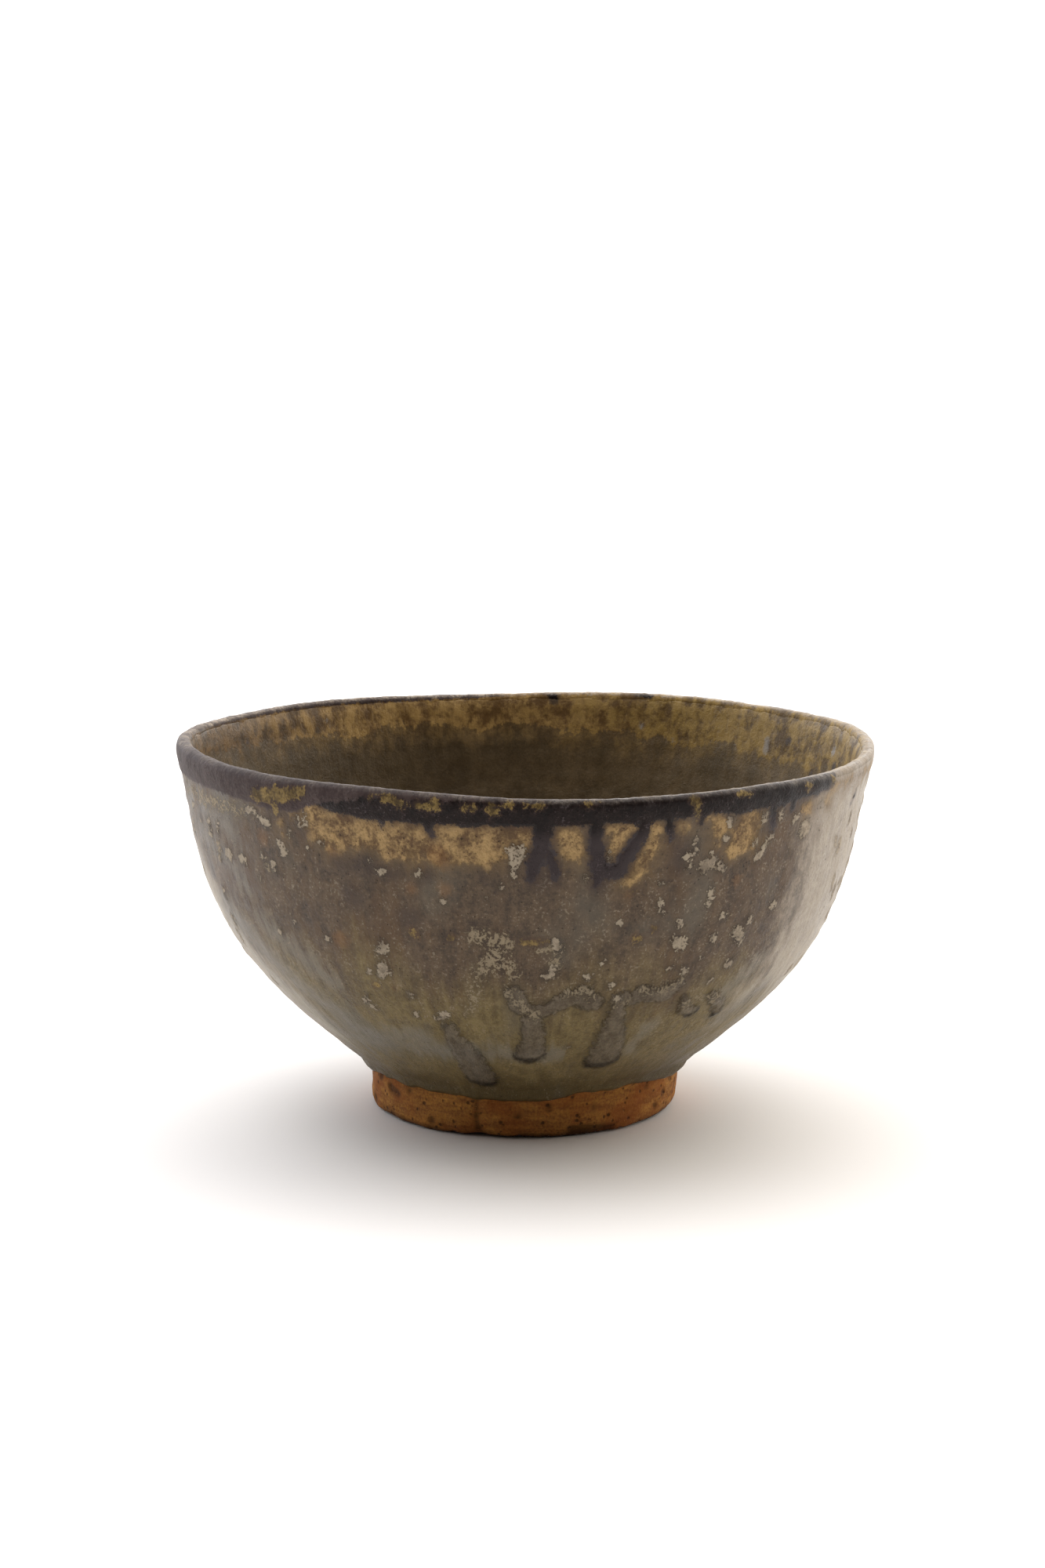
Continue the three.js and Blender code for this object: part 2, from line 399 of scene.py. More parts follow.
# The marks in the glaze are strokes of (degrees around, drop, radius), and edges are (degrees around, drop)
ironGlaze = {
    # lower edge of the dark band around the lip, as (degrees, drop); where it is negative there is none
    "blackEdge": [
        (-180, 3.6), (-165, 4.6), (-150, 2.4), (-140, -2), (-42, -2), (-37, 1.4), (-33, 4.4), (-28, 5.3),
        (-22, 5.7), (-15, 5.6), (-10, 5.2), (-5, 5.0), (0, 4.9), (5, 4.7), (10, 4.5), (14, 4.2),
        (18, 4.6), (22, 4.3), (26, 4.1), (30, 4.0), (35, 4.5), (40, 4.4), (45, 4.2), (50, 3.6), (55, 2.9),
        (57.4, 2.2), (58.6, -2), (104, -2), (108, 3.0), (120, 4.8), (135, 4.2), (150, 5.3), (165, 4.7),
        (180, 3.6),
    ],
    "plumEdge": [
        (-180, -1), (-160, 0.8), (-145, 5.0), (-120, 6.2), (-90, 6.0), (-75, 5.6), (-60, 5.2), (-50, 5.5),
        (-44, 6.0), (-38, 5.8), (-35, 4.4), (-32, 3.3), (-28, 2.6), (-24, 1.7), (-20, 1.7), (-15, 1.4),
        (-10, 1.1), (-5, 0.8), (0, 0.5), (8, -0.2), (20, -1), (180, -1),
    ],
    "drips": [
        [(2.7, 3.5, 1.9), (2.9, 6, 1.6), (2.6, 8.6, 1.4), (1.6, 11, 1.3), (1.1, 13.6, 0.7)],
        [(3.4, 8.6, 1.0), (4.6, 11.5, 0.9), (4.9, 14.4, 0.5)],
        [(11.0, 3.5, 1.3), (10.9, 7, 1.15), (11.3, 10, 1.4), (11.8, 12.8, 1.6), (11.2, 15, 0.6)],
        [(11.8, 12.4, 1.5), (14, 12.8, 1.4), (15.6, 12.0, 1.1)],
        [(18.9, 3.8, 1.1), (18.3, 6.4, 1.1), (17.1, 8.4, 1.2), (16.0, 10.4, 1.25), (15.5, 12.6, 1.1)],
        [(22.4, 3.5, 0.9), (22.8, 5.6, 0.9), (23.2, 7.6, 0.5)], [(28.2, 3.5, 0.5), (28.1, 5.8, 0.3)],
        [(42.3, 3.5, 0.8), (42.8, 8.4, 0.4)], [(46.9, 3.0, 0.9), (46.6, 5.4, 0.5)],
        [(-14.8, 5.0, 1.0), (-14.2, 7.3, 0.5)], [(-21.9, 5.0, 0.5), (-22.2, 6.6, 0.3)],
        [(67.9, 7.4, 0.3), (69.0, 6.2, 0.4)], [(127, 4, 1.2), (127.5, 9, 1.1), (127.2, 15, 0.8)],
        [(139, 4, 0.9), (139.6, 8, 0.7)],
        [(149, 4, 1.5), (150, 9, 1.3), (151, 16, 1.2), (150.6, 21, 0.7)],
        [(158, 4, 1.0), (155, 9, 0.9), (152, 13, 0.9)],
        [(171, 4, 1.3), (171.4, 8, 1.1), (170.6, 11, 0.6)],
        [(-168, 4, 1.1), (-167, 12, 1.0), (-167.4, 18, 0.6)], [(-158, 3, 0.8), (-157.4, 7, 0.5)],
    ],
    # thin smoky purple-brown
    "smoke": [
        [(-43, 6.4, 2.0), (-38, 6.2, 2.0), (-37, 9, 1.5)],
        [(-31, 13.2, 1.2), (-26, 13.4, 1.5), (-20, 14.4, 1.2)], [(2.6, 14.4, 2.0)], [(12.2, 15.4, 1.6)],
        [(23.6, 6, 1.6), (25.2, 9.4, 1.9), (25.0, 12.6, 1.4)], [(46, 5.6, 1.0), (50, 3.8, 1.0)],
        [(-6, 13.6, 1.4)], [(-15, 14.2, 1.1)], [(-29, 19, 2.2)], [(-19, 22, 2.0)], [(31.5, 3.8, 1.0)],
        [(43, 4.6, 1.0)], [(140, 13, 2.2), (146, 16, 2.0)], [(-150, 12, 2.4), (-144, 15, 2.0)],
    ],
    # olive-yellow spots where the band is thin
    "straw": [
        [(-46.5, 3.7, 1.2), (-43.5, 3.4, 1.1), (-40.5, 2.9, 1.2), (-37.2, 2.3, 0.9), (-35.9, 1.9, 0.6)],
        [(-42, 4.2, 0.7), (-42.6, 6.3, 0.4)], [(19.0, 25.4, 0.75)], [(22.0, 23.7, 0.5)],
        [(-18.6, 24.8, 0.6)], [(-12.2, 25.0, 0.45)], [(-0.4, 25.2, 0.35), (3.4, 25.1, 0.4)],
        [(17.4, 16.4, 0.4)], [(-28.4, 36.4, 0.5)], [(-23.8, 1.6, 0.5)],
        [(-21.6, 1.5, 0.6), (-20, 1.8, 0.7), (-18.6, 2.2, 0.6)],
        [(-16.2, 2.0, 0.5), (-15, 2.2, 0.6), (-13.2, 2.1, 0.8)], [(-9, 1.9, 0.35), (-7.6, 2.0, 0.4)],
        [(-4.9, 1.6, 0.8), (-4.5, 2.8, 0.6)], [(-2.2, 1.2, 0.5)], [(0.6, 1.3, 0.3), (2.4, 1.1, 0.6)],
        [(9.4, 1.0, 0.3), (11.0, 0.8, 0.3)], [(26.6, 1.2, 1.0)], [(26.9, 2.2, 0.4), (27.2, 4.7, 0.3)],
        [(34.5, 1.2, 0.3), (36.5, 1.4, 0.35)], [(49.8, 1.5, 0.8)], [(56.6, 1.6, 0.7)],
        [(118, 1.8, 0.9), (121, 2.1, 0.6)], [(143, 2.0, 0.8)], [(160, 1.6, 0.7), (163, 1.8, 0.8)],
        [(-172, 1.6, 0.7)],
    ],
}

ashGlaze = {
    # lower edge of the ochre band below the dark one
    "goldEdge": [
        (-180, 12), (-165, 13.5), (-150, 11), (-130, 7.4), (-110, 6.0), (-80, 4.0), (-62, 3.0),
        (-51, 3.0), (-41, 4), (-39, 7), (-36, 9.6), (-33, 12.3), (-30, 11.6), (-26, 11.0), (-22, 11.9),
        (-20, 12.5), (-16, 11.4), (-13, 12.7), (-9, 12.0), (-6, 12.2), (-3.4, 11.6), (-2, 9), (1.2, 8.4),
        (2.2, 3), (60, 3), (100, 4), (112, 9), (125, 12), (140, 13), (155, 11.5), (170, 13), (180, 12),
    ],
    "gold": [
        [(5.3, 6.6, 1.2), (7.4, 7.2, 1.7), (7.6, 9.0, 1.9)],
        [(13.0, 5.0, 1.0), (15.6, 5.2, 1.0), (14.7, 6.9, 1.5), (14.0, 8.9, 0.9)],
        [(15.6, 5.2, 0.9), (17.4, 5.3, 0.35)],
        [(20.6, 5.2, 0.8), (20.6, 7.4, 0.9), (20.2, 9.3, 1.3), (18.8, 11.6, 1.3), (17.2, 13.4, 0.7),
         (16.7, 14.9, 0.4)],
        [(24.6, 5.3, 0.9), (25.2, 6.6, 0.5)], [(29.0, 4.8, 0.5)],
        [(31.2, 5.4, 1.3), (31.3, 7.4, 1.4), (31.2, 9.2, 0.9)],
        [(36.2, 5.6, 2.2), (36.9, 7.0, 3.2), (36.9, 8.6, 3.2), (35.4, 10.4, 1.8)],
        [(49.5, 5.5, 1.1), (52, 5.7, 0.8)], [(56, 4.6, 0.6), (57.4, 6.2, 0.5)],
        [(-41.5, 8.0, 0.9), (-41.2, 10.0, 0.6)],
    ],
    # redder spots of ochre, the lower ones faint
    "rust": [
        [(-46.6, 11.2, 1.3)], [(-31.5, 11.8, 1.0)], [(-13.4, 10.6, 1.7), (-12.6, 12.0, 1.0)],
        [(-12.6, 16.5, 1.2)], [(-18.3, 16.8, 0.8)], [(-18.9, 24.0, 0.4), (-18.2, 24.9, 0.6)],
        [(-12.0, 24.8, 0.5)], [(0.4, 25.1, 0.35), (3.2, 25.0, 0.35)], [(18.9, 25.0, 0.8)],
        [(21.9, 23.6, 0.5)], [(-33, 27.5, 1.4)], [(-28.5, 36.6, 0.5)], [(-24.5, 36.6, 0.4)],
        [(36.6, 16.6, 0.8)], [(16.9, 16.9, 0.7)], [(27.2, 3.0, 0.3), (27.4, 4.8, 0.35)],
        [(33.4, 3.6, 0.3), (33.5, 5.0, 0.25)],
    ],
    # pale grey flecks of ash
    "ash": [
        [(-49.5, 6.8, 0.5), (-47.8, 6.8, 0.6)], [(-46.6, 8.0, 0.6), (-45.0, 8.6, 0.8)],
        [(-40.1, 9.4, 0.5)], [(-37.9, 6.6, 0.3), (-37.8, 8.0, 0.35)],
        [(-36.2, 6.2, 0.3), (-36.2, 7.6, 0.25)], [(-42.6, 11.6, 0.5), (-42.0, 13.4, 0.6)],
        [(-45.0, 15.5, 0.6), (-44.3, 17.0, 0.5)], [(-47.2, 14.6, 0.5)], [(-58, 16, 1.2)],
        [(-53.5, 16, 1.0)], [(-49.0, 18.7, 0.4)], [(-36.4, 11.8, 0.5)], [(-34.0, 10.6, 0.6)],
        [(-25.0, 12.4, 0.3)], [(-17.0, 14.0, 0.35)], [(-23.0, 14.3, 0.6)], [(-13.0, 18.6, 0.4)],
        [(-2.0, 9.0, 0.9), (-0.6, 9.4, 1.0)], [(-1.2, 11.0, 0.5), (-1.6, 13.6, 0.4)], [(-3.6, 15.4, 0.4)],
        [(-5.6, 17.6, 0.35)], [(13.0, 9.8, 0.35), (13.3, 11.8, 0.55)], [(9.9, 13.4, 0.6)],
        [(29.9, 13.4, 1.2), (31.0, 12.4, 0.9)], [(33.1, 13.8, 0.9)], [(26.3, 11.0, 0.8)],
        [(26.8, 13.0, 0.6)], [(27.6, 8.6, 0.6)], [(27.6, 10.4, 0.4)], [(30.6, 11.1, 0.45)],
        [(33.0, 8.7, 0.55)], [(33.5, 5.2, 0.3), (33.3, 6.6, 0.35)], [(40.4, 5.2, 0.5), (40.7, 6.4, 0.5)],
        [(43.9, 5.3, 0.5), (44.2, 6.4, 0.6)], [(39.8, 8.2, 0.5)], [(39.2, 10.2, 0.6)], [(42.7, 9.5, 0.5)],
        [(41.6, 11.4, 0.4), (40.5, 12.8, 0.6)], [(51.2, 9.5, 1.6)], [(54.5, 5.6, 0.5)],
        [(48.0, 7.0, 0.8)], [(22.3, 18.6, 0.4), (22.6, 20.4, 0.5)],
        [(31.8, 17.0, 0.3), (31.6, 19.5, 0.5), (31.4, 20.6, 0.4)], [(22.3, 15.3, 0.4)],
        [(15.5, 22.2, 0.5)], [(26.4, 26.2, 0.9), (27.4, 27.0, 1.1)], [(26.5, 23.2, 0.6)],
        [(33.8, 26.8, 0.7)], [(38.8, 26.3, 1.1), (40.4, 28.0, 0.8)], [(40.8, 24.4, 0.6)],
        [(35.0, 22.8, 0.6)], [(46.5, 22.5, 0.8)], [(32.3, 30.6, 0.3)],
        [(5.4, 25.2, 0.5), (6.0, 27.0, 0.5)], [(13.4, 29.2, 0.5)], [(11.0, 32.5, 0.8)],
        [(4.0, 32.2, 0.8), (5.0, 30.6, 0.6)], [(29.3, 32.6, 0.8)], [(26.6, 31.8, 0.4)],
        [(39.5, 32.8, 0.9)], [(36.5, 36.0, 0.6)], [(15.8, 34.4, 0.7)], [(17.6, 37.4, 0.6)],
        [(9.8, 50.4, 0.4)], [(-24.6, 27.2, 0.8), (-25.0, 29.0, 1.0)],
        [(-25.6, 32.4, 1.2), (-26.4, 34.0, 0.7)], [(-28.8, 33.6, 0.4)], [(-21.4, 37.8, 0.6)],
        [(-31.0, 39.0, 0.4), (-32.2, 41.0, 0.5), (-31.0, 42.4, 0.4)], [(-22.0, 42.6, 0.7)],
        [(-17.2, 43.0, 0.6), (-15.4, 41.8, 0.7)], [(-42.8, 25.8, 0.5)], [(-47.6, 28.4, 0.5)],
        [(-35.8, 27.9, 0.5)],
    ],
    # patches of ash broken up like lichen
    "lichen": [
        [(-8.0, 24.4, 1.8), (-3.4, 25.4, 2.1), (-4.8, 28.8, 2.6), (-7.6, 31.4, 2.0)],
        [(-4.8, 28.8, 2.2), (-1.8, 31.6, 1.7)],
        [(-8.6, 34.2, 1.3), (-9.6, 38.4, 1.3), (-11.0, 41.4, 1.1)],
        [(2.6, 27.0, 1.1), (5.8, 26.0, 1.3), (5.0, 31.2, 1.5)],
        [(8.0, 35.6, 1.4), (10.6, 34.8, 1.8), (12.4, 36.6, 1.4)],
        [(-2.6, 35.2, 1.6), (-0.6, 38.4, 1.4), (2.0, 41.0, 1.5)],
        [(22.4, 36.0, 1.2), (26.6, 36.0, 1.4), (29.6, 34.6, 1.4)], [(18.0, 38.6, 1.8)],
        [(-16.4, 43.4, 1.8)], [(40.0, 40.4, 1.6), (33.0, 40.6, 1.5)],
        [(30.2, 13.0, 1.6), (33.0, 13.4, 1.2)], [(27.0, 26.6, 1.6)], [(39.6, 27.0, 1.8)],
        [(-25.0, 28.8, 1.6), (-25.8, 33.2, 1.5)], [(-1.4, 9.4, 1.2), (-1.4, 13.0, 0.8)],
        [(-31.4, 40.8, 1.6)], [(-46, 16, 1.4)], [(36, 22.6, 1.1)], [(11, 32, 1.1)],
        [(-76, 7.6, 1.6), (-62, 7.6, 1.7), (-51, 7.4, 1.2)], [(-62, 16, 1.8)],
        [(120, 26, 3.0), (124, 32, 2.6)], [(170, 24, 3.2), (176, 30, 2.6)],
        [(-140, 27, 3.2), (-134, 33, 2.6)], [(-100, 22, 2.4)], [(88, 20, 2.4)],
    ],
    # blue-grey glaze that has flowed slantwise down the wall
    "flow": [
        [(-66, 26, 2.4), (-58, 33, 3.0), (-50, 41, 3.0), (-43, 47, 2.4)],
        [(-52, 27, 1.6), (-44, 33, 2.0), (-38, 38, 1.6)],
        [(-44, 50, 2.6), (-34, 52, 3.0), (-25, 49, 2.6), (-22, 54, 1.6)],
        [(-60, 42, 2.6), (-50, 52, 2.6)], [(-70, 14, 1.6), (-60, 17, 1.8), (-54, 21, 1.6)],
        [(-66, 9, 1.6), (-57, 11, 1.4), (-52, 14, 1.0)], [(48, 34, 2.0), (42, 40, 2.0)],
        [(56, 40, 2.4), (48, 48, 2.2)], [(27, 46, 1.4), (26, 54, 1.6)], [(130, 46, 3.0), (140, 52, 2.6)],
        [(-150, 40, 3.0), (-140, 46, 2.6)], [(-100, 40, 3.2), (-90, 46, 2.6)],
        [(90, 34, 2.6), (84, 44, 2.6)], [(-170, 54, 2.4), (176, 52, 2.4)],
    ],
    # raised runs of thicker glaze, the last point the lowest
    "runs": [
        [(-1.8, 35.6, 1.6), (-0.6, 39.2, 1.9), (2.6, 40.0, 1.7), (6.2, 38.6, 1.6), (8.2, 37.0, 1.9),
         (10.4, 36.5, 2.1), (12.6, 38.0, 2.0)],
        [(17.8, 37.6, 1.6), (20.4, 38.0, 1.5), (22.4, 36.9, 1.8), (24.6, 37.4, 1.7), (27.0, 37.4, 1.9),
         (29.2, 35.4, 1.2)],
        [(1.4, 39.8, 1.3), (1.8, 44.0, 1.9), (2.0, 49.0, 2.1), (1.2, 53.0, 2.5)],
        [(18.0, 38.4, 1.1), (18.2, 42.0, 1.6), (18.6, 47.0, 2.4), (19.2, 52.0, 2.9), (19.6, 55.6, 3.0)],
        [(-15.6, 44.6, 1.0), (-14.8, 50.0, 1.9), (-13.4, 55.0, 2.5), (-12.8, 60.0, 2.9),
         (-12.2, 62.8, 2.6)],
        [(32.2, 39.8, 1.0), (33.6, 42.4, 1.4), (36.0, 43.2, 1.2)],
        [(38.8, 39.8, 1.0), (42.2, 42.4, 1.4), (44.0, 44.8, 1.1)],
    ],
}

# how far the thin purple skin comes down inside the lip, and how pale the crest is: worn where the glaze
# breaks thin, and along the back of the lip also a painted highlight
lipSkin = {
    "inside": [
        (-180, 0.8), (-170, 1.5), (-150, 1.9), (-110, 1.6), (-90, 1.2), (-40, 0.9), (0, 0.8), (56, 0.7),
        (59, -1), (104, -1), (112, 0.5), (150, 0.6), (180, 0.8),
    ],
    "worn": [
        (-180, 0.85), (-125, 0.6), (-105, 0.9), (-85, 0.6), (-70, 0.2), (-40, 0.15), (0, 0.25),
        (30, 0.15), (56, 0.3), (60, 0.6), (105, 0.65), (150, 0.95), (162, 0.9), (180, 0.85),
    ],
    # dark nicks on the lip and inside it
    "nicks": [
        [(174.6, -1.4, 0.9), (174.2, -2.4, 0.9)], [(158.5, -0.9, 0.5), (156, -1.1, 0.4)],
        [(122, -6.4, 0.9)], [(103, -8.5, 1.0), (102, -10, 0.8)], [(112, -11, 0.6), (113, -13, 0.5)],
        [(-118, -6, 0.5)],
    ],
    # pale blue-grey spots inside
    "pale": [
        [(128, -7.0, 0.6), (128, -9.0, 0.7)], [(136, -9.2, 0.5)], [(157, -7.0, 0.6)], [(105, -6.0, 0.9)],
        [(150, -9.4, 0.4)], [(-140, -4.5, 0.4)], [(-100, -7, 0.5)],
    ],
}

# Marks for the sides and back
scatter = {
    "seed": 11,
    "flecks": 190,
    "patches": 9,
    "runs": (108, 121, 146, 167, 183, 205, 219, 243, 258),    # degrees around
}


def hiddenSideMarks(s):
    # the same kinds of marks as at the front, drawn at random
    rng = np.random.default_rng(s["seed"])
    flecks, patches, runs = [], [], []
    for _ in range(s["flecks"]):
        around, drop = rng.uniform(60, 300), rng.uniform(5, 46)
        size = rng.uniform(0.3, 0.75) * (1.4 if rng.random() < 0.2 else 1)
        lower = (around + rng.uniform(-0.7, 0.7), drop + rng.uniform(0.2, 2.4), size)
        flecks.append([(around, drop, size), lower])
    for _ in range(s["patches"]):
        around, drop = rng.uniform(68, 290), rng.uniform(22, 36)
        for _ in range(8):
            patches.append([(around + rng.uniform(-4, 4), drop + rng.uniform(-6, 6), rng.uniform(0.6, 1.4))])
    for around in s["runs"]:
        top, low = rng.uniform(36, 43), rng.uniform(49, 64)
        wide = rng.uniform(1.2, 2.1)
        drift = rng.uniform(-2, 2)
        middle = (around + drift / 2, (top + low) / 2, wide * 0.85)
        runs.append([(around, top, wide * 0.55), middle, (around + drift, low, wide)])
        if rng.random() < 0.5:
            runs.append([(around, top, 0.8), (around + 4, top - 2, 0.8), (around + 8, top - 1, 0.9)])
    return flecks + patches, runs


def strokeDepth(values, marks, floor=-4.0):
    # how far inside the nearest stroke each point lies, negative outside
    depth = np.full(len(values["drop"]), floor)
    perDegree = math.pi / 180 * values["radius"]
    for stroke in marks:
        for (a0, d0, r0), (a1, d1, r1) in zip(stroke, stroke[1:] or stroke):
            around = (values["around"] - a0 + 180) % 360 - 180
            beside = abs(around) < abs(a1 - a0) + 12
            level = abs(values["drop"] - (d0 + d1) / 2) < abs(d1 - d0) / 2 + r0 + r1 + 5
            near = np.nonzero(beside & level)[0]
            scale = perDegree[near]
            x, y = around[near] * scale, values["drop"][near] - d0
            bx, by = (a1 - a0) * scale, d1 - d0
            share = np.clip((x * bx + y * by) / np.maximum(bx * bx + by * by, 1e-9), 0, 1)
            found = r0 + (r1 - r0) * share - np.hypot(x - share * bx, y - share * by)
            depth[near] = np.maximum(depth[near], found)
    return depth


def edgeAt(around, knots):
    degrees, drops = zip(*knots)
    return np.interp(around, degrees, drops)


def paleAndReflectionDepth(around, drop):
    # paler ash on the right side, partly the glaze's own paler colour and partly a painted reflection of the
    # bright studio on that flank, and low on the left flank, where the paleness is a painted reflection; with
    # wavy bounds
    rightStart = 57.5 - 4 * smooth(0, 8, drop) - 1.5 * smooth(10, 25, drop)
    rightEnd = 112 - 14 * smooth(6, 40, drop) + 5 * np.sin(drop / 3.5)
    rightLow = 42 - 9 * smooth(70, 110, around) + 3 * np.sin(around / 5)
    right = np.minimum(np.minimum(around - rightStart, rightEnd - around), rightLow - drop)
    leftStart = 72 - 16 * smooth(24, 48, drop)
    leftEnd = 126 - 30 * smooth(20, 54, drop) + 5 * np.sin(drop / 4)
    leftTop = 24 + 8 * smooth(80, 120, -around) + 3 * np.sin(around / 6)
    leftLow = 56
    left = np.minimum(-leftStart - around, around + leftEnd)
    left = np.minimum(left, np.minimum(drop - leftTop, leftLow - drop))
    left = np.minimum(left, 2 - 3.5 * smooth(82, 100, -around))
    return np.clip(np.maximum(right, left), -16, 6)


def glazeFields(values):
    # every mark as a depth that the materials turn into ragged edges
    around, drop = values["around"], values["drop"]
    outside = drop > 0
    none = -4
    flecks, hiddenRuns = hiddenSideMarks(scatter)
    runs = ashGlaze["runs"] + hiddenRuns
    bandTop, goldTop = -1.0, 2
    black = np.minimum(edgeAt(around, ironGlaze["blackEdge"]) - drop, drop - bandTop)
    iron = np.maximum(np.maximum(black, none), strokeDepth(values, ironGlaze["drips"]))
    plum = np.minimum(edgeAt(around, ironGlaze["plumEdge"]) - drop, drop + edgeAt(around, lipSkin["inside"]))
    gold = np.minimum(edgeAt(around, ashGlaze["goldEdge"]) - drop, drop - goldTop)
    gold = np.maximum(np.maximum(gold, none), strokeDepth(values, ashGlaze["gold"]))
    runDepth = strokeDepth(values, runs)
    runShadowBelow = 43    # drop below which a run's lower end gets a painted shadow
    ends = [[(side, low + 0.9, wide * 1.05)] for *_, (side, low, wide) in runs if low > runShadowBelow]
    return {
        "iron": np.where(outside, iron, strokeDepth(values, lipSkin["nicks"])),
        "pale": paleAndReflectionDepth(around, drop),
        "worn": edgeAt(around, lipSkin["worn"]),
        "plum": np.maximum(plum, none),
        "gold": np.where(outside, gold, none),
        "straw": strokeDepth(values, ironGlaze["straw"]),
        "rust": strokeDepth(values, ashGlaze["rust"]),
        "ash": strokeDepth(values, ashGlaze["ash"] + flecks + lipSkin["pale"]),
        "run": runDepth,
        # painted shadow below the lower ends of the raised runs, kept off the runs themselves
        "runShadow": strokeDepth(values, ends) - np.maximum(runDepth, 0) * 1.4,
        "smoke": strokeDepth(values, ironGlaze["smoke"]),
        "lichen": strokeDepth(values, ashGlaze["lichen"]),
        "flow": strokeDepth(values, ashGlaze["flow"], -6.0),
    }


# Colours and materials
eased = {"interpolation_type": "SMOOTHSTEP"}
glazeColours = {
    "brown": ("#3c3128", "#695845"),
    "umber": "#57422d",
    "olive": ("#5a4c2f", "#85754e"),
    "deep": "#4e4125",
    "slate": "#625c50",
    "flow": "#7b776e",
    "speck": "#9c907f",
    "pit": "#2a2118",
    "gold": ("#5a452f", "#ad9062"),
    "goldShade": "#4f3d2a",
    "goldHaze": "#6b573a",
    "fringe": "#3a2c28",
    "smoke": "#3d322e",
    "rust": "#8f6438",
    "ash": ("#7d7161", "#a89b87"),
    "lichen": "#978971",
    # pale ash of the right side, lightened further as a painted reflection on the flanks
    "pale": ("#9e9384", "#b7ad9e"),
    "run": ("#52483c", "#71675a"),
    # painted shadow round and below the raised runs
    "runShadow": "#261f13",
    "iron": ("#140d0c", "#241b19"),
    "ironThin": "#383031",
    "lilac": "#61575a",
    "plum": ("#382d2c", "#514542"),
    "straw": ("#4d3f24", "#927b49"),
    # the crest: dark where the glaze is thin, partly painted shade; pale where worn, partly a painted
    # highlight
    "lipThinAndShaded": "#332a2b",
    "crest": "#ad9f8d",
    # the lighter copies of the inside ochre for the back and of the dark glaze for the right are painted
    # light; the yellower ochre for the right is partly painted light
    "insideGold": ("#45351f", "#745a36"),
    "insideBackLit": ("#6c522e", "#b5955d"),
    "insideStrawLit": ("#5a4521", "#a08449"),
    "insideDark": ("#463a28", "#67583f"),
    "insideDarkLitRight": ("#564932", "#7a684c"),
    "insidePale": "#98948f",
}
# how far noise pushes the edge of each mark, in coarse and small steps, and how soft that edge is
outsideEdges = {
    "rust": (2.6, 1.0, 0.9),
    "smoke": (4.0, 1.0, 1.3),
    "run": (4.0, 1.6, 0.35),
    "runShadow": (3.0, 1.2, 0.6),
    "lichen": (12.0, 13.0, 0.5),
    "ash": (4.2, 2.4, 0.14),
    "iron": (3.2, 1.2, 0.3),
    "plum": (2.4, 1.0, 0.3),
    "straw": (3.6, 1.6, 0.25),
}
insideEdges = {"ash": (1.9, 0.8, 0.3), "iron": (1.9, 0.8, 0.4), "plum": (1.4, 0.6, 0.3)}
clayColours = {
    "body": ("#744a26", "#ba823f"),
    "flash": "#80441c",
    "darkClay": "#35200f",
    "grog": "#3c2412",
    "sand": "#b1834e",
}


def linear(code):
    # an sRGB hex value as the linear colour that the shader takes
    parts = [int(code[i:i + 2], 16) / 255 for i in (1, 3, 5)]
    return (*[c / 12.92 if c <= 0.04045 else ((c + 0.055) / 1.055) ** 2.4 for c in parts], 1)


def newMaterial(name, roughness, specular):
    material = bpy.data.materials.new(name)
    material.use_nodes = True
    tree = material.node_tree
    tree.nodes.clear()
    constants = {"Roughness": roughness, "IOR": 1.5, "Specular IOR Level": specular}
    surface = add(tree, "BsdfPrincipled", constants)
    add(tree, "OutputMaterial", surface)
    return material, tree, surface.node.inputs


def dress(tree, sockets, colour, height, rough=None):
    # gives a surface its colour, its fine relief and, where it varies, its roughness
    bump = add(tree, "Bump", {"Strength": 1.0, "Distance": mm, "Height": height})
    for name, value in (("Base Color", colour), ("Roughness", rough), ("Normal", bump)):
        if value:
            tree.links.new(value, sockets[name])


def grain(tree, spot, size, detail=3.0, stretch=(1, 1, 1), rough=0.55, shift=0.0):
    # noise with features of a size, stretched down the wall if asked
    spot = add(tree, "Mapping", {"Vector": spot, "Scale": stretch, "Location": (shift, shift * 2, -shift)})
    return add(tree, "TexNoise", {"Vector": spot, "Scale": 1 / size, "Detail": detail, "Roughness": rough})


def nudge(tree, value, *pushes):
    # pushes a value about by noises that are centred on one half, each given with its strength
    for wobble, strength in pushes:
        wobble = add(tree, "Math", wobble, 0.5, operation="SUBTRACT")
        value = add(tree, "Math", wobble, strength, value, operation="MULTIPLY_ADD")
    return value


def cover(tree, under, over, mask, most=1.0):
    # lays a colour over another where a mask is; a hex value is made linear here
    under, over = (linear(colour) if isinstance(colour, str) else colour for colour in (under, over))
    mask = add(tree, "Math", mask, most, operation="MULTIPLY")
    return add(tree, "Mix", {0: mask, 6: under, 7: over}, out=2, data_type="RGBA")


def layer(tree, under, over, value, low, high, most=1.0):
    # lays a colour over another as a value goes from low to high
    return cover(tree, under, over, add(tree, "MapRange", value, low, high, 0.0, most, **eased))


def glazeNoise(tree, spot):
    # the grains that every layer of glaze shares
    return {
        "fine": grain(tree, spot, 0.5, rough=0.65),
        "edge": grain(tree, spot, 1.5, 6.0, rough=0.7),
        "cloud": grain(tree, spot, 3.4, 5.0, (1, 1, 0.75), 0.62, 9.0),
        "streak": grain(tree, spot, 1.5, 4.0, (1, 1, 0.12), 0.6),
        "broad": grain(tree, spot, 13, 3.0, (1, 1, 0.5), 0.5, 31.0),
    }


def readMarks(tree, names):
    return {name: add(tree, "Attribute", attribute_name=name, out="Fac") for name in names}


def cutMarks(tree, n, edges):
    # each mark's depth, pushed about by noise, and the mask cut from it
    depth, mask = {}, {}
    for name, value in readMarks(tree, edges).items():
        coarse, small, soft = edges[name]
        depth[name] = nudge(tree, value, (n["edge"], coarse), (n["fine"], small))
        mask[name] = add(tree, "MapRange", depth[name], -soft, soft, **eased)
    return depth, mask


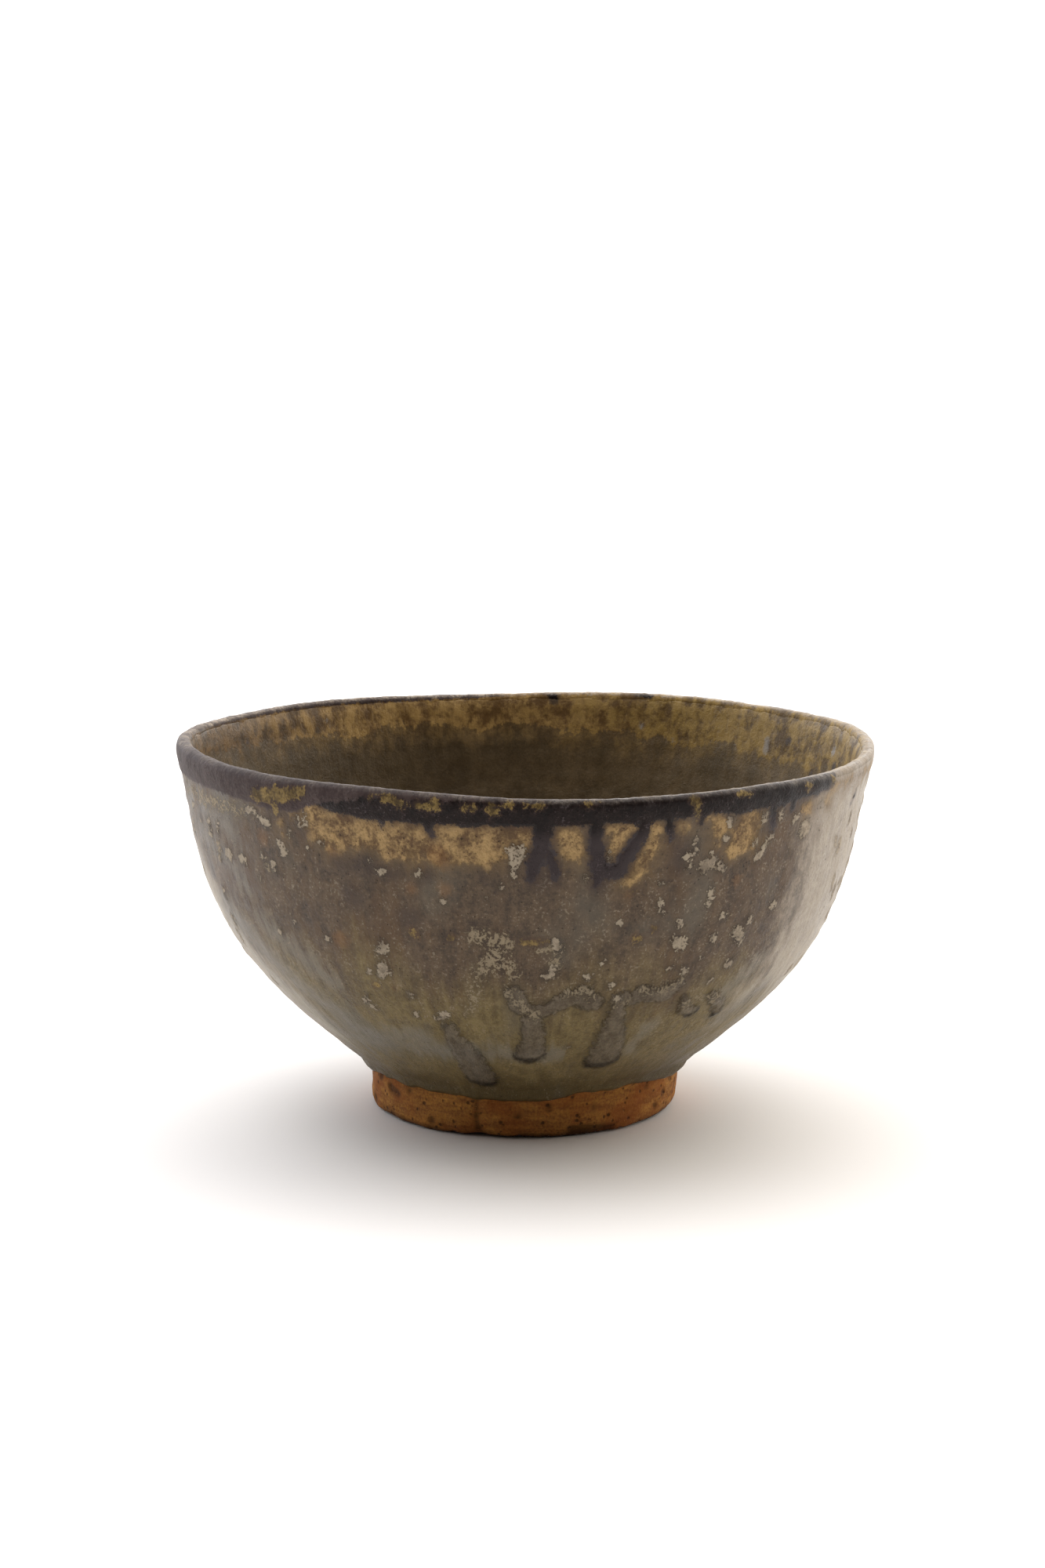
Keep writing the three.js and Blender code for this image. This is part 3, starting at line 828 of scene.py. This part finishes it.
def insideOchre(tree, spot, n, c):
    # the ochre just inside the lip, yellower on the right, partly its own hue and partly painted light, and
    # lighter across the back, where the lightness is painted light
    side = add(tree, "SeparateXYZ", spot).node.outputs
    clouds = total(tree, (n["cloud"], 0.65), (n["edge"], 0.35))
    gold, back, straw = (layer(tree, *c[key], clouds, 0.4, 0.6)
                         for key in ("insideGold", "insideBackLit", "insideStrawLit"))
    ochre = layer(tree, gold, back, nudge(tree, side["Y"], (n["cloud"], 20.0)), 26.0, 56.0)
    rightward = add(tree, "MapRange", nudge(tree, side["X"], (n["cloud"], 60.0)), 0.0, 36.0, **eased)
    return cover(tree, ochre, straw, rightward), rightward


def lipEdge(tree, drop, n, colour, c):
    # the glaze is thin and dark on the edge of the lip, its darkness partly painted shade that keeps the
    # crest from looking lit from above; worn to pale specks, which along the back of the lip are partly a
    # painted highlight
    worn = readMarks(tree, ["worn"])["worn"]
    edge = add(tree, "Math", drop, 0.15, operation="ADD")
    edge = add(tree, "Math", edge, operation="ABSOLUTE")
    edge = nudge(tree, edge, (n["edge"], 2.0))
    unworn = add(tree, "Math", 1.0, worn, operation="SUBTRACT")
    thinAndShaded = add(tree, "MapRange", edge, 1.3, 0.6, 0.0, 0.7, **eased)
    colour = cover(tree, colour, c["lipThinAndShaded"], thinAndShaded, unworn)
    crest = add(tree, "MapRange", edge, 1.3, 0.6, **eased)
    patches = add(tree, "MapRange", n["cloud"], 0.42, 0.58, 0.35, 1.0, **eased)
    flecks = add(tree, "MapRange", n["fine"], 0.4, 0.55, 0.3, 1.0, **eased)
    for share in (worn, patches, flecks):
        crest = add(tree, "Math", crest, share, operation="MULTIPLY")
    return cover(tree, colour, c["crest"], crest)


def glazeColour(tree, spot, n, c):
    # the outside of the bowl and its lip: layers from the body of the glaze up to the lip
    depth, mask = cutMarks(tree, n, outsideEdges)
    stored = readMarks(tree, ("drop", "flow", "pale", "gold", "lichen"))
    tone = total(tree, (n["cloud"], 0.3), (n["streak"], 0.14), (n["edge"], 0.28), (n["fine"], 0.28))
    mottle = total(tree, (n["edge"], 0.55), (n["fine"], 0.45))
    shimmer = nudge(tree, mottle, (n["cloud"], 0.7))
    colour = layer(tree, *c["brown"], tone, 0.38, 0.62)
    umber = grain(tree, spot, 5.5, 4.0, (1, 1, 0.4), 0.6, 57.0)
    colour = layer(tree, colour, c["umber"], umber, 0.48, 0.66, 0.6)

    # olive takes over on the lower wall, and darkens where the glaze pools above the foot
    low = nudge(tree, stored["drop"], (n["broad"], 30.0), (n["streak"], 14.0))
    olive = layer(tree, *c["olive"], tone, 0.38, 0.62)
    colour = layer(tree, colour, olive, low, 26.0, 46.0, 0.9)
    colour = layer(tree, colour, c["deep"], low, 56.0, 70.0, 0.8)
    slate = grain(tree, spot, 15, 3.0, (1, 1, 0.6), 0.5, 83.0)
    colour = layer(tree, colour, c["slate"], slate, 0.53, 0.68, 0.5)
    flow = nudge(tree, stored["flow"], (n["streak"], 8.0), (n["cloud"], 9.0))
    colour = layer(tree, colour, c["flow"], flow, -2.0, 2.4, 0.52)
    # painted reflection of the bright studio on the flanks, over the glaze's own paler ash on the right
    paleAndReflection = nudge(tree, stored["pale"], (n["streak"], 7.0), (n["cloud"], 14.0), (n["broad"], 12.0))
    paleAndReflection = add(tree, "MapRange", paleAndReflection, -8.0, 4.5, **eased)
    pale = layer(tree, *c["pale"], tone, 0.42, 0.58)
    colour = cover(tree, colour, pale, paleAndReflection, 0.78)

    # fine pale specks, gathered in clouds, and dark pinholes
    gather = nudge(tree, n["fine"], (n["cloud"], 0.5))
    specks = add(tree, "MapRange", gather, 0.6, 0.68, **eased)
    colour = cover(tree, colour, c["speck"], specks, 0.46)
    holes = add(tree, "TexVoronoi", {"Vector": spot, "Scale": 1 / 1.2}, out="Distance")
    pits = add(tree, "MapRange", nudge(tree, holes, (n["cloud"], 0.3)), 0.12, 0.06, **eased)
    colour = cover(tree, colour, c["pit"], pits, 0.6)

    # the ochre band: a haze round it, then clouded gold with brown pits
    goldDepth = nudge(tree, stored["gold"], (n["cloud"], 7.0), (n["edge"], 3.0))
    colour = layer(tree, colour, c["goldHaze"], goldDepth, -3.6, 0.4, 0.55)
    gold = layer(tree, *c["gold"], shimmer, 0.36, 0.66)
    shade = grain(tree, spot, 4.2, 4.0, rough=0.6, shift=71.0)
    gold = layer(tree, gold, c["goldShade"], shade, 0.5, 0.68, 0.75)
    gold = layer(tree, gold, c["pit"], nudge(tree, holes, (n["edge"], 0.5)), 0.16, 0.06, 0.7)
    mask["gold"] = add(tree, "MapRange", goldDepth, -0.7, 0.9, **eased)
    kept = add(tree, "Math", paleAndReflection, -0.55, 1.0, operation="MULTIPLY_ADD")
    mask["gold"] = add(tree, "Math", mask["gold"], kept, operation="MULTIPLY")
    colour = cover(tree, colour, gold, mask["gold"])
    colour = cover(tree, colour, c["rust"], mask["rust"], 0.26)
    colour = cover(tree, colour, c["smoke"], mask["smoke"], 0.55)

    # raised runs, with a faint painted shade round their edges and a painted shadow below where they end
    run = layer(tree, *c["run"], shimmer, 0.36, 0.64)
    run = layer(tree, run, c["ash"][0], nudge(tree, gather, (n["edge"], 0.5)), 0.56, 0.68, 0.45)
    colour = layer(tree, colour, c["runShadow"], depth["run"], -1.2, -0.2, 0.12)
    colour = cover(tree, colour, run, mask["run"], 0.7)
    colour = cover(tree, colour, c["runShadow"], mask["runShadow"], 0.85)

    # ash broken up like lichen, and single raised flecks with a painted shade line round them
    for value, start, end in ((depth["lichen"], 0.6, 1.7), (stored["lichen"], -0.6, 0.4)):
        broken = add(tree, "MapRange", value, start, end, **eased)
        mask["lichen"] = add(tree, "Math", mask["lichen"], broken, operation="MULTIPLY")
    colour = cover(tree, colour, c["lichen"], mask["lichen"], 0.75)
    ash = layer(tree, *c["ash"], shimmer, 0.36, 0.62)
    fleckShade = add(tree, "Math", paleAndReflection, -0.32, 0.4, operation="MULTIPLY_ADD")
    colour = layer(tree, colour, c["pit"], depth["ash"], -0.75, -0.15, fleckShade)
    colour = cover(tree, colour, ash, mask["ash"], 0.85)
    mask["ash"] = add(tree, "Math", mask["ash"], mask["lichen"], operation="MAXIMUM")

    # over the lip the ochre of the inside begins
    ochre = insideOchre(tree, spot, n, c)[0]
    colour = layer(tree, colour, ochre, nudge(tree, stored["drop"], (n["edge"], 1.2)), 0.1, -0.5)

    # the iron glaze, black where thick, slate where it runs down thin, matt purple-brown over the lip
    colour = layer(tree, colour, c["fringe"], depth["iron"], -1.1, -0.1, 0.45)
    iron = layer(tree, *c["iron"], shimmer, 0.38, 0.66)
    iron = layer(tree, iron, c["ironThin"], stored["drop"], 4.6, 8.0, 0.9)
    iron = layer(tree, iron, c["lilac"], nudge(tree, n["fine"], (n["cloud"], 0.6)), 0.62, 0.74, 0.4)
    colour = cover(tree, colour, iron, mask["iron"])
    plum = layer(tree, *c["plum"], tone, 0.42, 0.6)
    plum = cover(tree, plum, c["lilac"], specks, 0.35)
    plum = cover(tree, plum, c["pit"], pits, 0.6)
    colour = cover(tree, colour, plum, mask["plum"])
    straw = layer(tree, *c["straw"], shimmer, 0.4, 0.64)
    colour = layer(tree, colour, c["fringe"], depth["straw"], -0.8, -0.2, 0.5)
    colour = cover(tree, colour, straw, mask["straw"], 0.82)
    return lipEdge(tree, stored["drop"], n, colour, c), dict(mask, pits=pits, specks=specks)


def glazeMaterial(name, c, specular):
    # ash glaze fired to a satin skin; the gold, the ash flecks and the plum are matt, the iron glossier
    material, tree, sockets = newMaterial(name, 0.38, specular)
    spot = add(tree, "Attribute", attribute_name="wallSpace", out="Vector")
    n = glazeNoise(tree, spot)
    colour, mask = glazeColour(tree, spot, n, c)
    rough = add(tree, "MapRange", n["cloud"], 0.35, 0.65, 0.32, 0.46, **eased)
    for key, value in {"gold": 0.6, "ash": 0.6, "run": 0.42, "iron": 0.3, "plum": 0.55}.items():
        rough = add(tree, "Mix", {0: mask[key], 2: rough, 3: value})
    onRuns = add(tree, "Math", n["edge"], 0.35, operation="MULTIPLY")
    onGold = add(tree, "Math", n["fine"], 0.14, operation="MULTIPLY")
    height = total(tree, (n["fine"], 0.07), (n["edge"], 0.2), (n["streak"], 0.08), (mask["pits"], -0.12),
                   (mask["specks"], 0.05), (mask["ash"], 0.12), (mask["run"], onRuns), (mask["gold"], onGold))
    dress(tree, sockets, colour, height, rough)
    return material


def insideMaterial(name, c, specular):
    # the same ash glaze inside: ochre below the lip, then a dark satin pool
    material, tree, sockets = newMaterial(name, 0.4, specular)
    spot = add(tree, "Attribute", attribute_name="wallSpace", out="Vector")
    n = glazeNoise(tree, spot)
    drop = readMarks(tree, ["drop"])["drop"]
    mask = cutMarks(tree, n, insideEdges)[1]
    tone = total(tree, (n["cloud"], 0.3), (n["streak"], 0.12), (n["broad"], 0.38), (n["fine"], 0.2))
    # a lighter copy of the dark glaze towards the right: painted light on that side of the inside
    dark, darkLit = (layer(tree, *c[key], tone, 0.36, 0.66) for key in ("insideDark", "insideDarkLitRight"))
    colour = layer(tree, dark, darkLit, add(tree, "SeparateXYZ", spot, out="X"), -30.0, 44.0)
    gold, rightward = insideOchre(tree, spot, n, c)
    down = nudge(tree, drop, (n["broad"], 9.0), (n["streak"], 2.4), (n["edge"], 3.6), (n["cloud"], 5.0))
    down = add(tree, "Math", rightward, 2.6, down, operation="MULTIPLY_ADD")
    colour = layer(tree, colour, gold, down, -12.0, -6.5, 0.35)
    colour = layer(tree, colour, gold, down, -7.2, -6.3)
    colour = cover(tree, colour, c["insidePale"], mask["ash"], 0.7)
    colour = cover(tree, colour, c["ironThin"], mask["iron"], 0.8)
    colour = cover(tree, colour, c["plum"][0], mask["plum"])
    colour = lipEdge(tree, drop, n, colour, c)
    rough = add(tree, "MapRange", n["streak"], 0.35, 0.65, 0.34, 0.5, **eased)
    height = total(tree, (n["fine"], 0.07), (n["edge"], 0.16), (n["streak"], 0.12))
    dress(tree, sockets, colour, height, rough)
    return material


def clayMaterial(name, c):
    # unglazed stoneware, trimmed leather-hard and fired orange-brown: matt, sandy, with dark iron specks
    material, tree, sockets = newMaterial(name, 0.88, 0.15)
    spot = add(tree, "TexCoord", out="Object")
    spot = add(tree, "Mapping", {"Vector": spot, "Scale": (1 / mm, 1 / mm, 1 / mm)})
    fine = grain(tree, spot, 0.4)
    turned = grain(tree, spot, 2.5, 4.0, (0.4, 0.4, 2.2), 0.6)
    broad = grain(tree, spot, 9, rough=0.5, shift=21.0)
    colour = layer(tree, *c["body"], total(tree, (fine, 0.5), (turned, 0.6)), 0.35, 0.8)
    colour = layer(tree, colour, c["flash"], broad, 0.45, 0.65, 0.6)
    dots, sand = (add(tree, "TexVoronoi", {"Vector": spot, "Scale": 1 / apart}, out="Distance")
                  for apart in (1.3, 0.7))
    specks = add(tree, "MapRange", dots, 0.34, 0.16, **eased)
    here = add(tree, "MapRange", grain(tree, spot, 2.4, 2.0, rough=0.5, shift=5.0), 0.46, 0.54, **eased)
    specks = add(tree, "Math", specks, here, operation="MULTIPLY")
    dark = nudge(tree, readMarks(tree, ["stain"])["stain"], (turned, 3.0), (fine, 1.6))
    colour = layer(tree, colour, c["darkClay"], dark, -0.7, 0.5, 0.75)
    # darker along the edge it stands on
    above = nudge(tree, add(tree, "SeparateXYZ", spot, out="Z"), (broad, 5.0))
    colour = layer(tree, colour, c["darkClay"], above, 1.6, 0.2, 0.7)
    colour = cover(tree, colour, c["grog"], specks, 0.8)
    colour = layer(tree, colour, c["sand"], sand, 0.16, 0.08, 0.5)
    dress(tree, sockets, colour, total(tree, (fine, 0.14), (turned, 0.16), (specks, -0.12)))
    return material


# The pieces; steps are the distances between rows of points
def rowsBetween(start, end, step):
    count = max(2, int(round(abs(end - start) / step)) + 1)
    return np.linspace(start, end, count)


def coatOutline(front, backStep, depth, closed):
    # a coat's outline: along the shown side, and back along the clay side
    back = rowsBetween(front[-1], front[0], backStep)
    shown = np.concatenate([np.ones(len(front)), np.zeros(len(back))])
    walk = [np.vstack([onSurface(front), onSurface(back, depth)]), np.concatenate([front, back]), shown]
    if closed:
        return [np.concatenate([part, part[:1]]) for part in walk]
    # both ends are on the axis, so it begins there
    return [np.roll(part, -len(front), axis=0) for part in walk]


def glazeCoat(name, front, s, finish, closed=True):
    # a coat of glaze with its marks stored on it
    outline, drops, shown = coatOutline(front, s["backStep"], s["depth"], closed)
    piece = turnedPiece(name, outline, drops, shown, s["columns"], finish)
    place, normal, values = readMesh(piece)
    fields = glazeFields(values)
    storeFloats(piece, {key: fields[key] for key in s.get("marks", fields)})
    storeWallSpace(piece, values)
    return piece, place, normal, values, fields


def unevenness(place):
    # the faint hills of every glaze
    return 0.1 * roughNoise(place, 5.0, 3) + 0.035 * roughNoise(place, 1.6, 4, 2)


outerGlaze = {
    "columns": 640,
    "step": 0.62,
    "backStep": 5.0,
    "depth": 0.5,
    "specular": 0.2,
    "top": 1.2,      # drop at which it ends under the iron glaze
    "runs": 0.36,    # how far the runs stand out
    "flecks": 0.12,
    "ochre": 0.08,
    "overhang": 0.8,
    # how far above the foot it ends, by degrees around
    "end": [
        (-180, 2.0), (-120, 1.6), (-80, 1.6), (-55, 1.2), (-35, 0.6), (-17, 0.2), (-12, 0.0), (-3, 0.2),
        (3, 1.0), (15, 1.2), (30, 1.7), (45, 2.2), (65, 3.0), (90, 3.2), (130, 2.4), (180, 2.0),
    ],
}


def makeOuterGlaze(s):
    finish = glazeMaterial("satin ash glaze outside", glazeColours, s["specular"])
    front = rowsBetween(footDrop, s["top"], s["step"])
    piece, place, normal, values, fields = glazeCoat("outer_glaze_fired", front, s, finish)
    drop, turn = values["drop"], np.radians(values["around"])
    rough = roughNoise(place, 1.4, 8, 3)
    rise = s["runs"] * smooth(-0.3, 0.8, fields["run"] + 0.7 * rough) * (1 + 0.4 * rough)
    rise += s["flecks"] * smooth(-0.2, 0.3, fields["ash"] + 0.4 * rough)
    rise += s["ochre"] * smooth(-1.0, 1.0, fields["gold"])
    low = smooth(footDrop - 2.4, footDrop, drop)
    rise += unevenness(place) + 0.22 * low
    place = place + normal * (rise * values["shown"])[:, None]
    # it stops short of the foot in places, further up at the right and behind
    climb = onSurface(np.array([footDrop - 4.0]))[0] - onSurface(np.array([footDrop]))[0]
    climb = climb / np.linalg.norm(climb)
    short = edgeAt(values["around"], s["end"]) * smooth(footDrop - 12, footDrop, drop)
    place[:, 0] += np.sin(turn) * climb[0] * short
    place[:, 1] -= np.cos(turn) * climb[0] * short
    place[:, 2] += climb[1] * short
    # the lower edge hangs over the foot here and there
    circle = np.stack([np.sin(turn), np.cos(turn), low * 0], axis=1)
    hang = np.clip(0.35 + 1.1 * roughNoise(circle * 27, 9.0, 21, 3), -0.1, 1.3)
    place[:, 2] -= hang * low * s["overhang"]
    place[:, :2] *= (1 + 0.25 * low * smooth(0.0, 0.5, hang) / 28)[:, None]
    movePoints(piece, place)
    return piece


innerGlaze = {
    "columns": 640,
    "step": 0.85,
    "backStep": 5.0,
    "depth": 0.5,
    "specular": 0.3,
    "top": -1.2,
    "marks": ("plum", "ash", "iron", "worn"),
}


def makeInnerGlaze(s):
    finish = insideMaterial("satin ash glaze inside", glazeColours, s["specular"])
    front = rowsBetween(s["top"], centreDrop, s["step"])
    piece, place, normal, values, fields = glazeCoat("inner_glaze_fired", front, s, finish, closed=False)
    rise = unevenness(place) * values["shown"] * smooth(0, 8, values["radius"])
    movePoints(piece, place + normal * rise[:, None])
    return piece


rimGlaze = {
    "columns": 640,
    "step": 0.62,
    "lipStep": 0.28,
    "backStep": 1.2,
    "depth": 0.45,
    "specular": 0.12,
    "lowest": 23.0,    # drop that the longest drip may reach
    "lip": 2.2,        # drop above which the rows are closer
    "inside": -3.2,
    "under": 0.16,     # how deep it lies below the ash glaze where there is none of it
    "proud": 0.2,      # and how far it stands above it where it is thick
}


def makeRimGlaze(s):
    finish = glazeMaterial("iron glaze over the lip", glazeColours, s["specular"])
    front = np.concatenate([rowsBetween(s["lowest"], s["lip"], s["step"]),
                            rowsBetween(s["lip"], s["inside"], s["lipStep"])[1:]])
    piece, place, normal, values, fields = glazeCoat("rim_glaze_fired", front, s, finish)
    drop = values["drop"]
    spread = np.maximum(fields["iron"], fields["plum"]) + 0.5 * roughNoise(place, 1.8, 9, 3)
    spread = np.maximum(spread, 1.5 - abs(drop))
    thick = smooth(-0.2, 0.9, spread) * (s["proud"] + s["under"]) - s["under"]
    within = 0.1 - 0.35 * smooth(-1.4, s["inside"] + 0.4, drop + 0.5 * roughNoise(place, 3.0, 15, 3))
    thick = np.where(drop < 0, np.minimum(np.maximum(thick, 0.02), within), thick)
    worn = 0.09 * smooth(1.6, 0.2, abs(drop)) * roughNoise(place, 0.9, 5, 2)
    rise = (thick + unevenness(place) + worn) * values["shown"]
    movePoints(piece, place + normal * rise[:, None])
    return piece


def fineOutline(section, step):
    # points along a section no further apart than about a step
    points = []
    for a, b in zip(section[:-1], section[1:]):
        count = max(1, int(np.linalg.norm(b - a) / step))
        points += [a + (b - a) * k / count for k in range(count)]
    return np.array(points + [section[-1]])


footRing = {
    "columns": 420,
    "step": 0.35,
    "wander": 0.3,    # how far the trimmed side wanders in and out
    "belly": 0.3,
    "joinedAt": 17,   # degrees left of the front
    "groove": 0.3,
    "collar": 5.0,    # how far bare clay runs up the wall under the glaze's edge
    # dark stains and dents as strokes of (degrees around, height above the table, radius)
    "stains": [
        [(-17.4, 7.0, 0.3), (-17.6, 3.6, 0.1), (-17.0, 0.9, 0.6)], [(-59, 5.8, 0.9), (-54, 5.2, 0.6)],
        [(-68, 7.2, 0.8)], [(-47, 6.6, 0.5)], [(18, 1.2, 1.0), (34, 0.9, 0.8)], [(51, 7.4, 0.35)],
        [(63, 4.6, 0.5)], [(70, 6.6, 0.45)], [(77, 5.0, 0.5)], [(58, 2.6, 0.4)], [(-36, 2.2, 0.4)],
        [(-2, 4.4, 0.35)], [(9, 6.0, 0.3)], [(26, 5.2, 0.35)], [(-75, 2.0, 0.8)], [(120, 4.0, 0.8)],
        [(150, 2.0, 0.9)], [(-150, 5.0, 0.7)], [(-120, 3.0, 0.6)], [(172, 6.0, 0.5)],
    ],
    "dents": 0.2,
    "chips": 0.25,
    "pocks": 0.16,
}


def makeFootRing(s):
    finish = clayMaterial("trimmed stoneware of the foot", clayColours)
    section = cadSection("foot_ring")
    outline = fineOutline(np.vstack([section, section[:1]]), s["step"])
    # a collar of the same clay goes up the wall from the outer top corner
    up = rowsBetween(footDrop, footDrop - s["collar"], 0.4)
    collar = np.vstack([onSurface(up, 0.2), onSurface(up[::-1], 0.7)])
    corner = int(np.argmax(outline[:-1, 0] + outline[:-1, 1]))
    if outline[corner + 1, 1] < outline[corner, 1] - 0.01:
        outline = np.vstack([outline[:corner], collar[::-1], outline[corner:]])
    else:
        outline = np.vstack([outline[:corner + 1], collar, outline[corner + 1:]])
    # hand-worn corners: each point drawn towards its neighbours
    for _ in range(2):
        ring = outline[:-1]
        ring = (np.roll(ring, 1, axis=0) + ring * 2 + np.roll(ring, -1, axis=0)) / 4
        outline = np.vstack([ring, ring[:1]])
    drops = footDrop + footTop - outline[:, 1]
    piece = turnedPiece("foot_ring_trimmed", outline, drops, np.ones(len(outline)), s["columns"], finish)
    place, normal, values = readMesh(piece)
    height = place[:, 2]
    stain = strokeDepth(dict(values, drop=height), s["stains"])
    storeFloats(piece, {"stain": stain})
    wander = roughNoise(place * (0.5, 0.5, 1.5), 6.0, 12, 3) * s["wander"]
    # the side bellies a little, and has a groove where the ring was joined
    wander += s["belly"] * (smooth(0.5, 4.5, height) - 0.6)
    fromJoin = abs((values["around"] + s["joinedAt"] + 180) % 360 - 180)
    wander -= s["groove"] * smooth(6.0, 0.5, fromJoin + 3.0 * roughNoise(place, 3.0, 16, 2))
    wander = wander * smooth(footTop + 0.2, footTop - 1.4, height) - s["dents"] * smooth(-0.3, 0.4, stain)
    chip = smooth(2.2, 0.2, height) * smooth(0.0, 0.35, roughNoise(place, 2.6, 13, 3) - 0.25)
    pock = smooth(0.35, 0.75, roughNoise(place, 1.1, 14, 2)) * s["pocks"]
    rise = wander - chip * s["chips"] - pock
    lifted = place + normal * rise[:, None]
    lifted[:, 2] = np.maximum(lifted[:, 2], 0.0)
    movePoints(piece, lifted)
    return piece


clayBowl = {
    "columns": 192,
    "step": 1.2,
}


def makeClayBowl(s):
    finish = clayMaterial("stoneware of the bowl", clayColours)
    section = cadSection("stoneware_bowl")
    if section[0, 1] > section[-1, 1]:
        section = section[::-1]
    outline = fineOutline(section, s["step"])
    level = np.zeros(len(outline))
    piece = turnedPiece("stoneware_bowl_thrown", outline, level, level + 1, s["columns"], finish)
    storeFloats(piece, {"stain": np.full(len(piece.data.vertices), -4.0)})
    return piece


pieces = {
    "outer_glaze": (makeOuterGlaze, outerGlaze, "outer_ash_glaze"),
    "inner_glaze": (makeInnerGlaze, innerGlaze, "inner_ash_glaze"),
    "rim_glaze": (makeRimGlaze, rimGlaze, "rim_iron_glaze"),
    "foot_ring": (makeFootRing, footRing, "foot_clay"),
    "stoneware_bowl": (makeClayBowl, clayBowl, "stoneware_clay"),
}
for node, (make, settings, slot) in pieces.items():
    piece = make(settings)
    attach(piece, "root")
    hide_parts(node)
    print("made", piece.name, len(piece.data.vertices), "points")


# A pale floor and soft light
studio = {
    "floor": "#f3f2f1",
    "floorSize": 8.0,        # metres, as in all of this dictionary
    "behind": (2.35, 2.85),  # brightness behind the bowl, to the left and to the right
    "front": 0.04,
    "above": 0.9,
    "backdrop": 1.3,
    "cool": "#f4f7ff",
    "warm": "#fff9f0",
    "room": "#f6ebe0",       # warm light that the room in front gives back
    "softbox": (-0.2, 0.24, 1.12),
    "softboxSize": (1.3, 1.1),
    "softboxPower": 4.8,
}


def makeFloor(s):
    half = s["floorSize"] / 2
    data = bpy.data.meshes.new("studio floor")
    corners = [(-half, -half, 0), (half, -half, 0), (half, half, 0), (-half, half, 0)]
    data.from_pydata(corners, [], [(0, 1, 2, 3)])
    floor = bpy.data.objects.new("studio_floor", data)
    material, tree, sockets = newMaterial("matt white paper", 0.9, 0.2)
    sockets["Base Color"].default_value = linear(s["floor"])
    data.materials.append(material)
    scene.collection.objects.link(floor)


def makeSky(s):
    # a white studio: bright behind, dim in front where the room is
    world = bpy.data.worlds.new("studio")
    scene.world = world
    world.use_nodes = True
    tree = world.node_tree
    tree.nodes.clear()
    side = add(tree, "SeparateXYZ", add(tree, "TexCoord", out="Generated")).node.outputs
    across = add(tree, "MapRange", side["X"], -0.9, 0.9, **eased)
    behind = add(tree, "Mix", {0: across, 2: s["behind"][0], 3: s["behind"][1]})
    turned = add(tree, "MapRange", side["Y"], -0.55, 0.35, **eased)
    level = add(tree, "Mix", {0: turned, 2: s["front"], 3: behind})
    top = add(tree, "MapRange", side["Z"], 0.45, 0.95, 0.0, s["above"], **eased)
    level = add(tree, "Math", level, top, operation="MAXIMUM")
    seen = add(tree, "LightPath", out="Is Camera Ray")
    level = add(tree, "Mix", {0: seen, 2: level, 3: s["backdrop"]})
    tint = cover(tree, s["cool"], s["warm"], across)
    tint = cover(tree, s["room"], tint, add(tree, "Math", turned, seen, operation="MAXIMUM"))
    add(tree, "OutputWorld", add(tree, "Background", {"Color": tint, "Strength": level}))


def makeSoftbox(s):
    data = bpy.data.lights.new("overhead softbox", "AREA")
    data.shape = "RECTANGLE"
    data.size, data.size_y = s["softboxSize"]
    data.energy = s["softboxPower"]
    lamp = bpy.data.objects.new("overhead softbox", data)
    lamp.location = s["softbox"]
    lamp.rotation_euler = (-Vector(s["softbox"])).to_track_quat("-Z", "Y").to_euler()
    scene.collection.objects.link(lamp)


makeFloor(studio)
makeSky(studio)
makeSoftbox(studio)
print("studio lit")
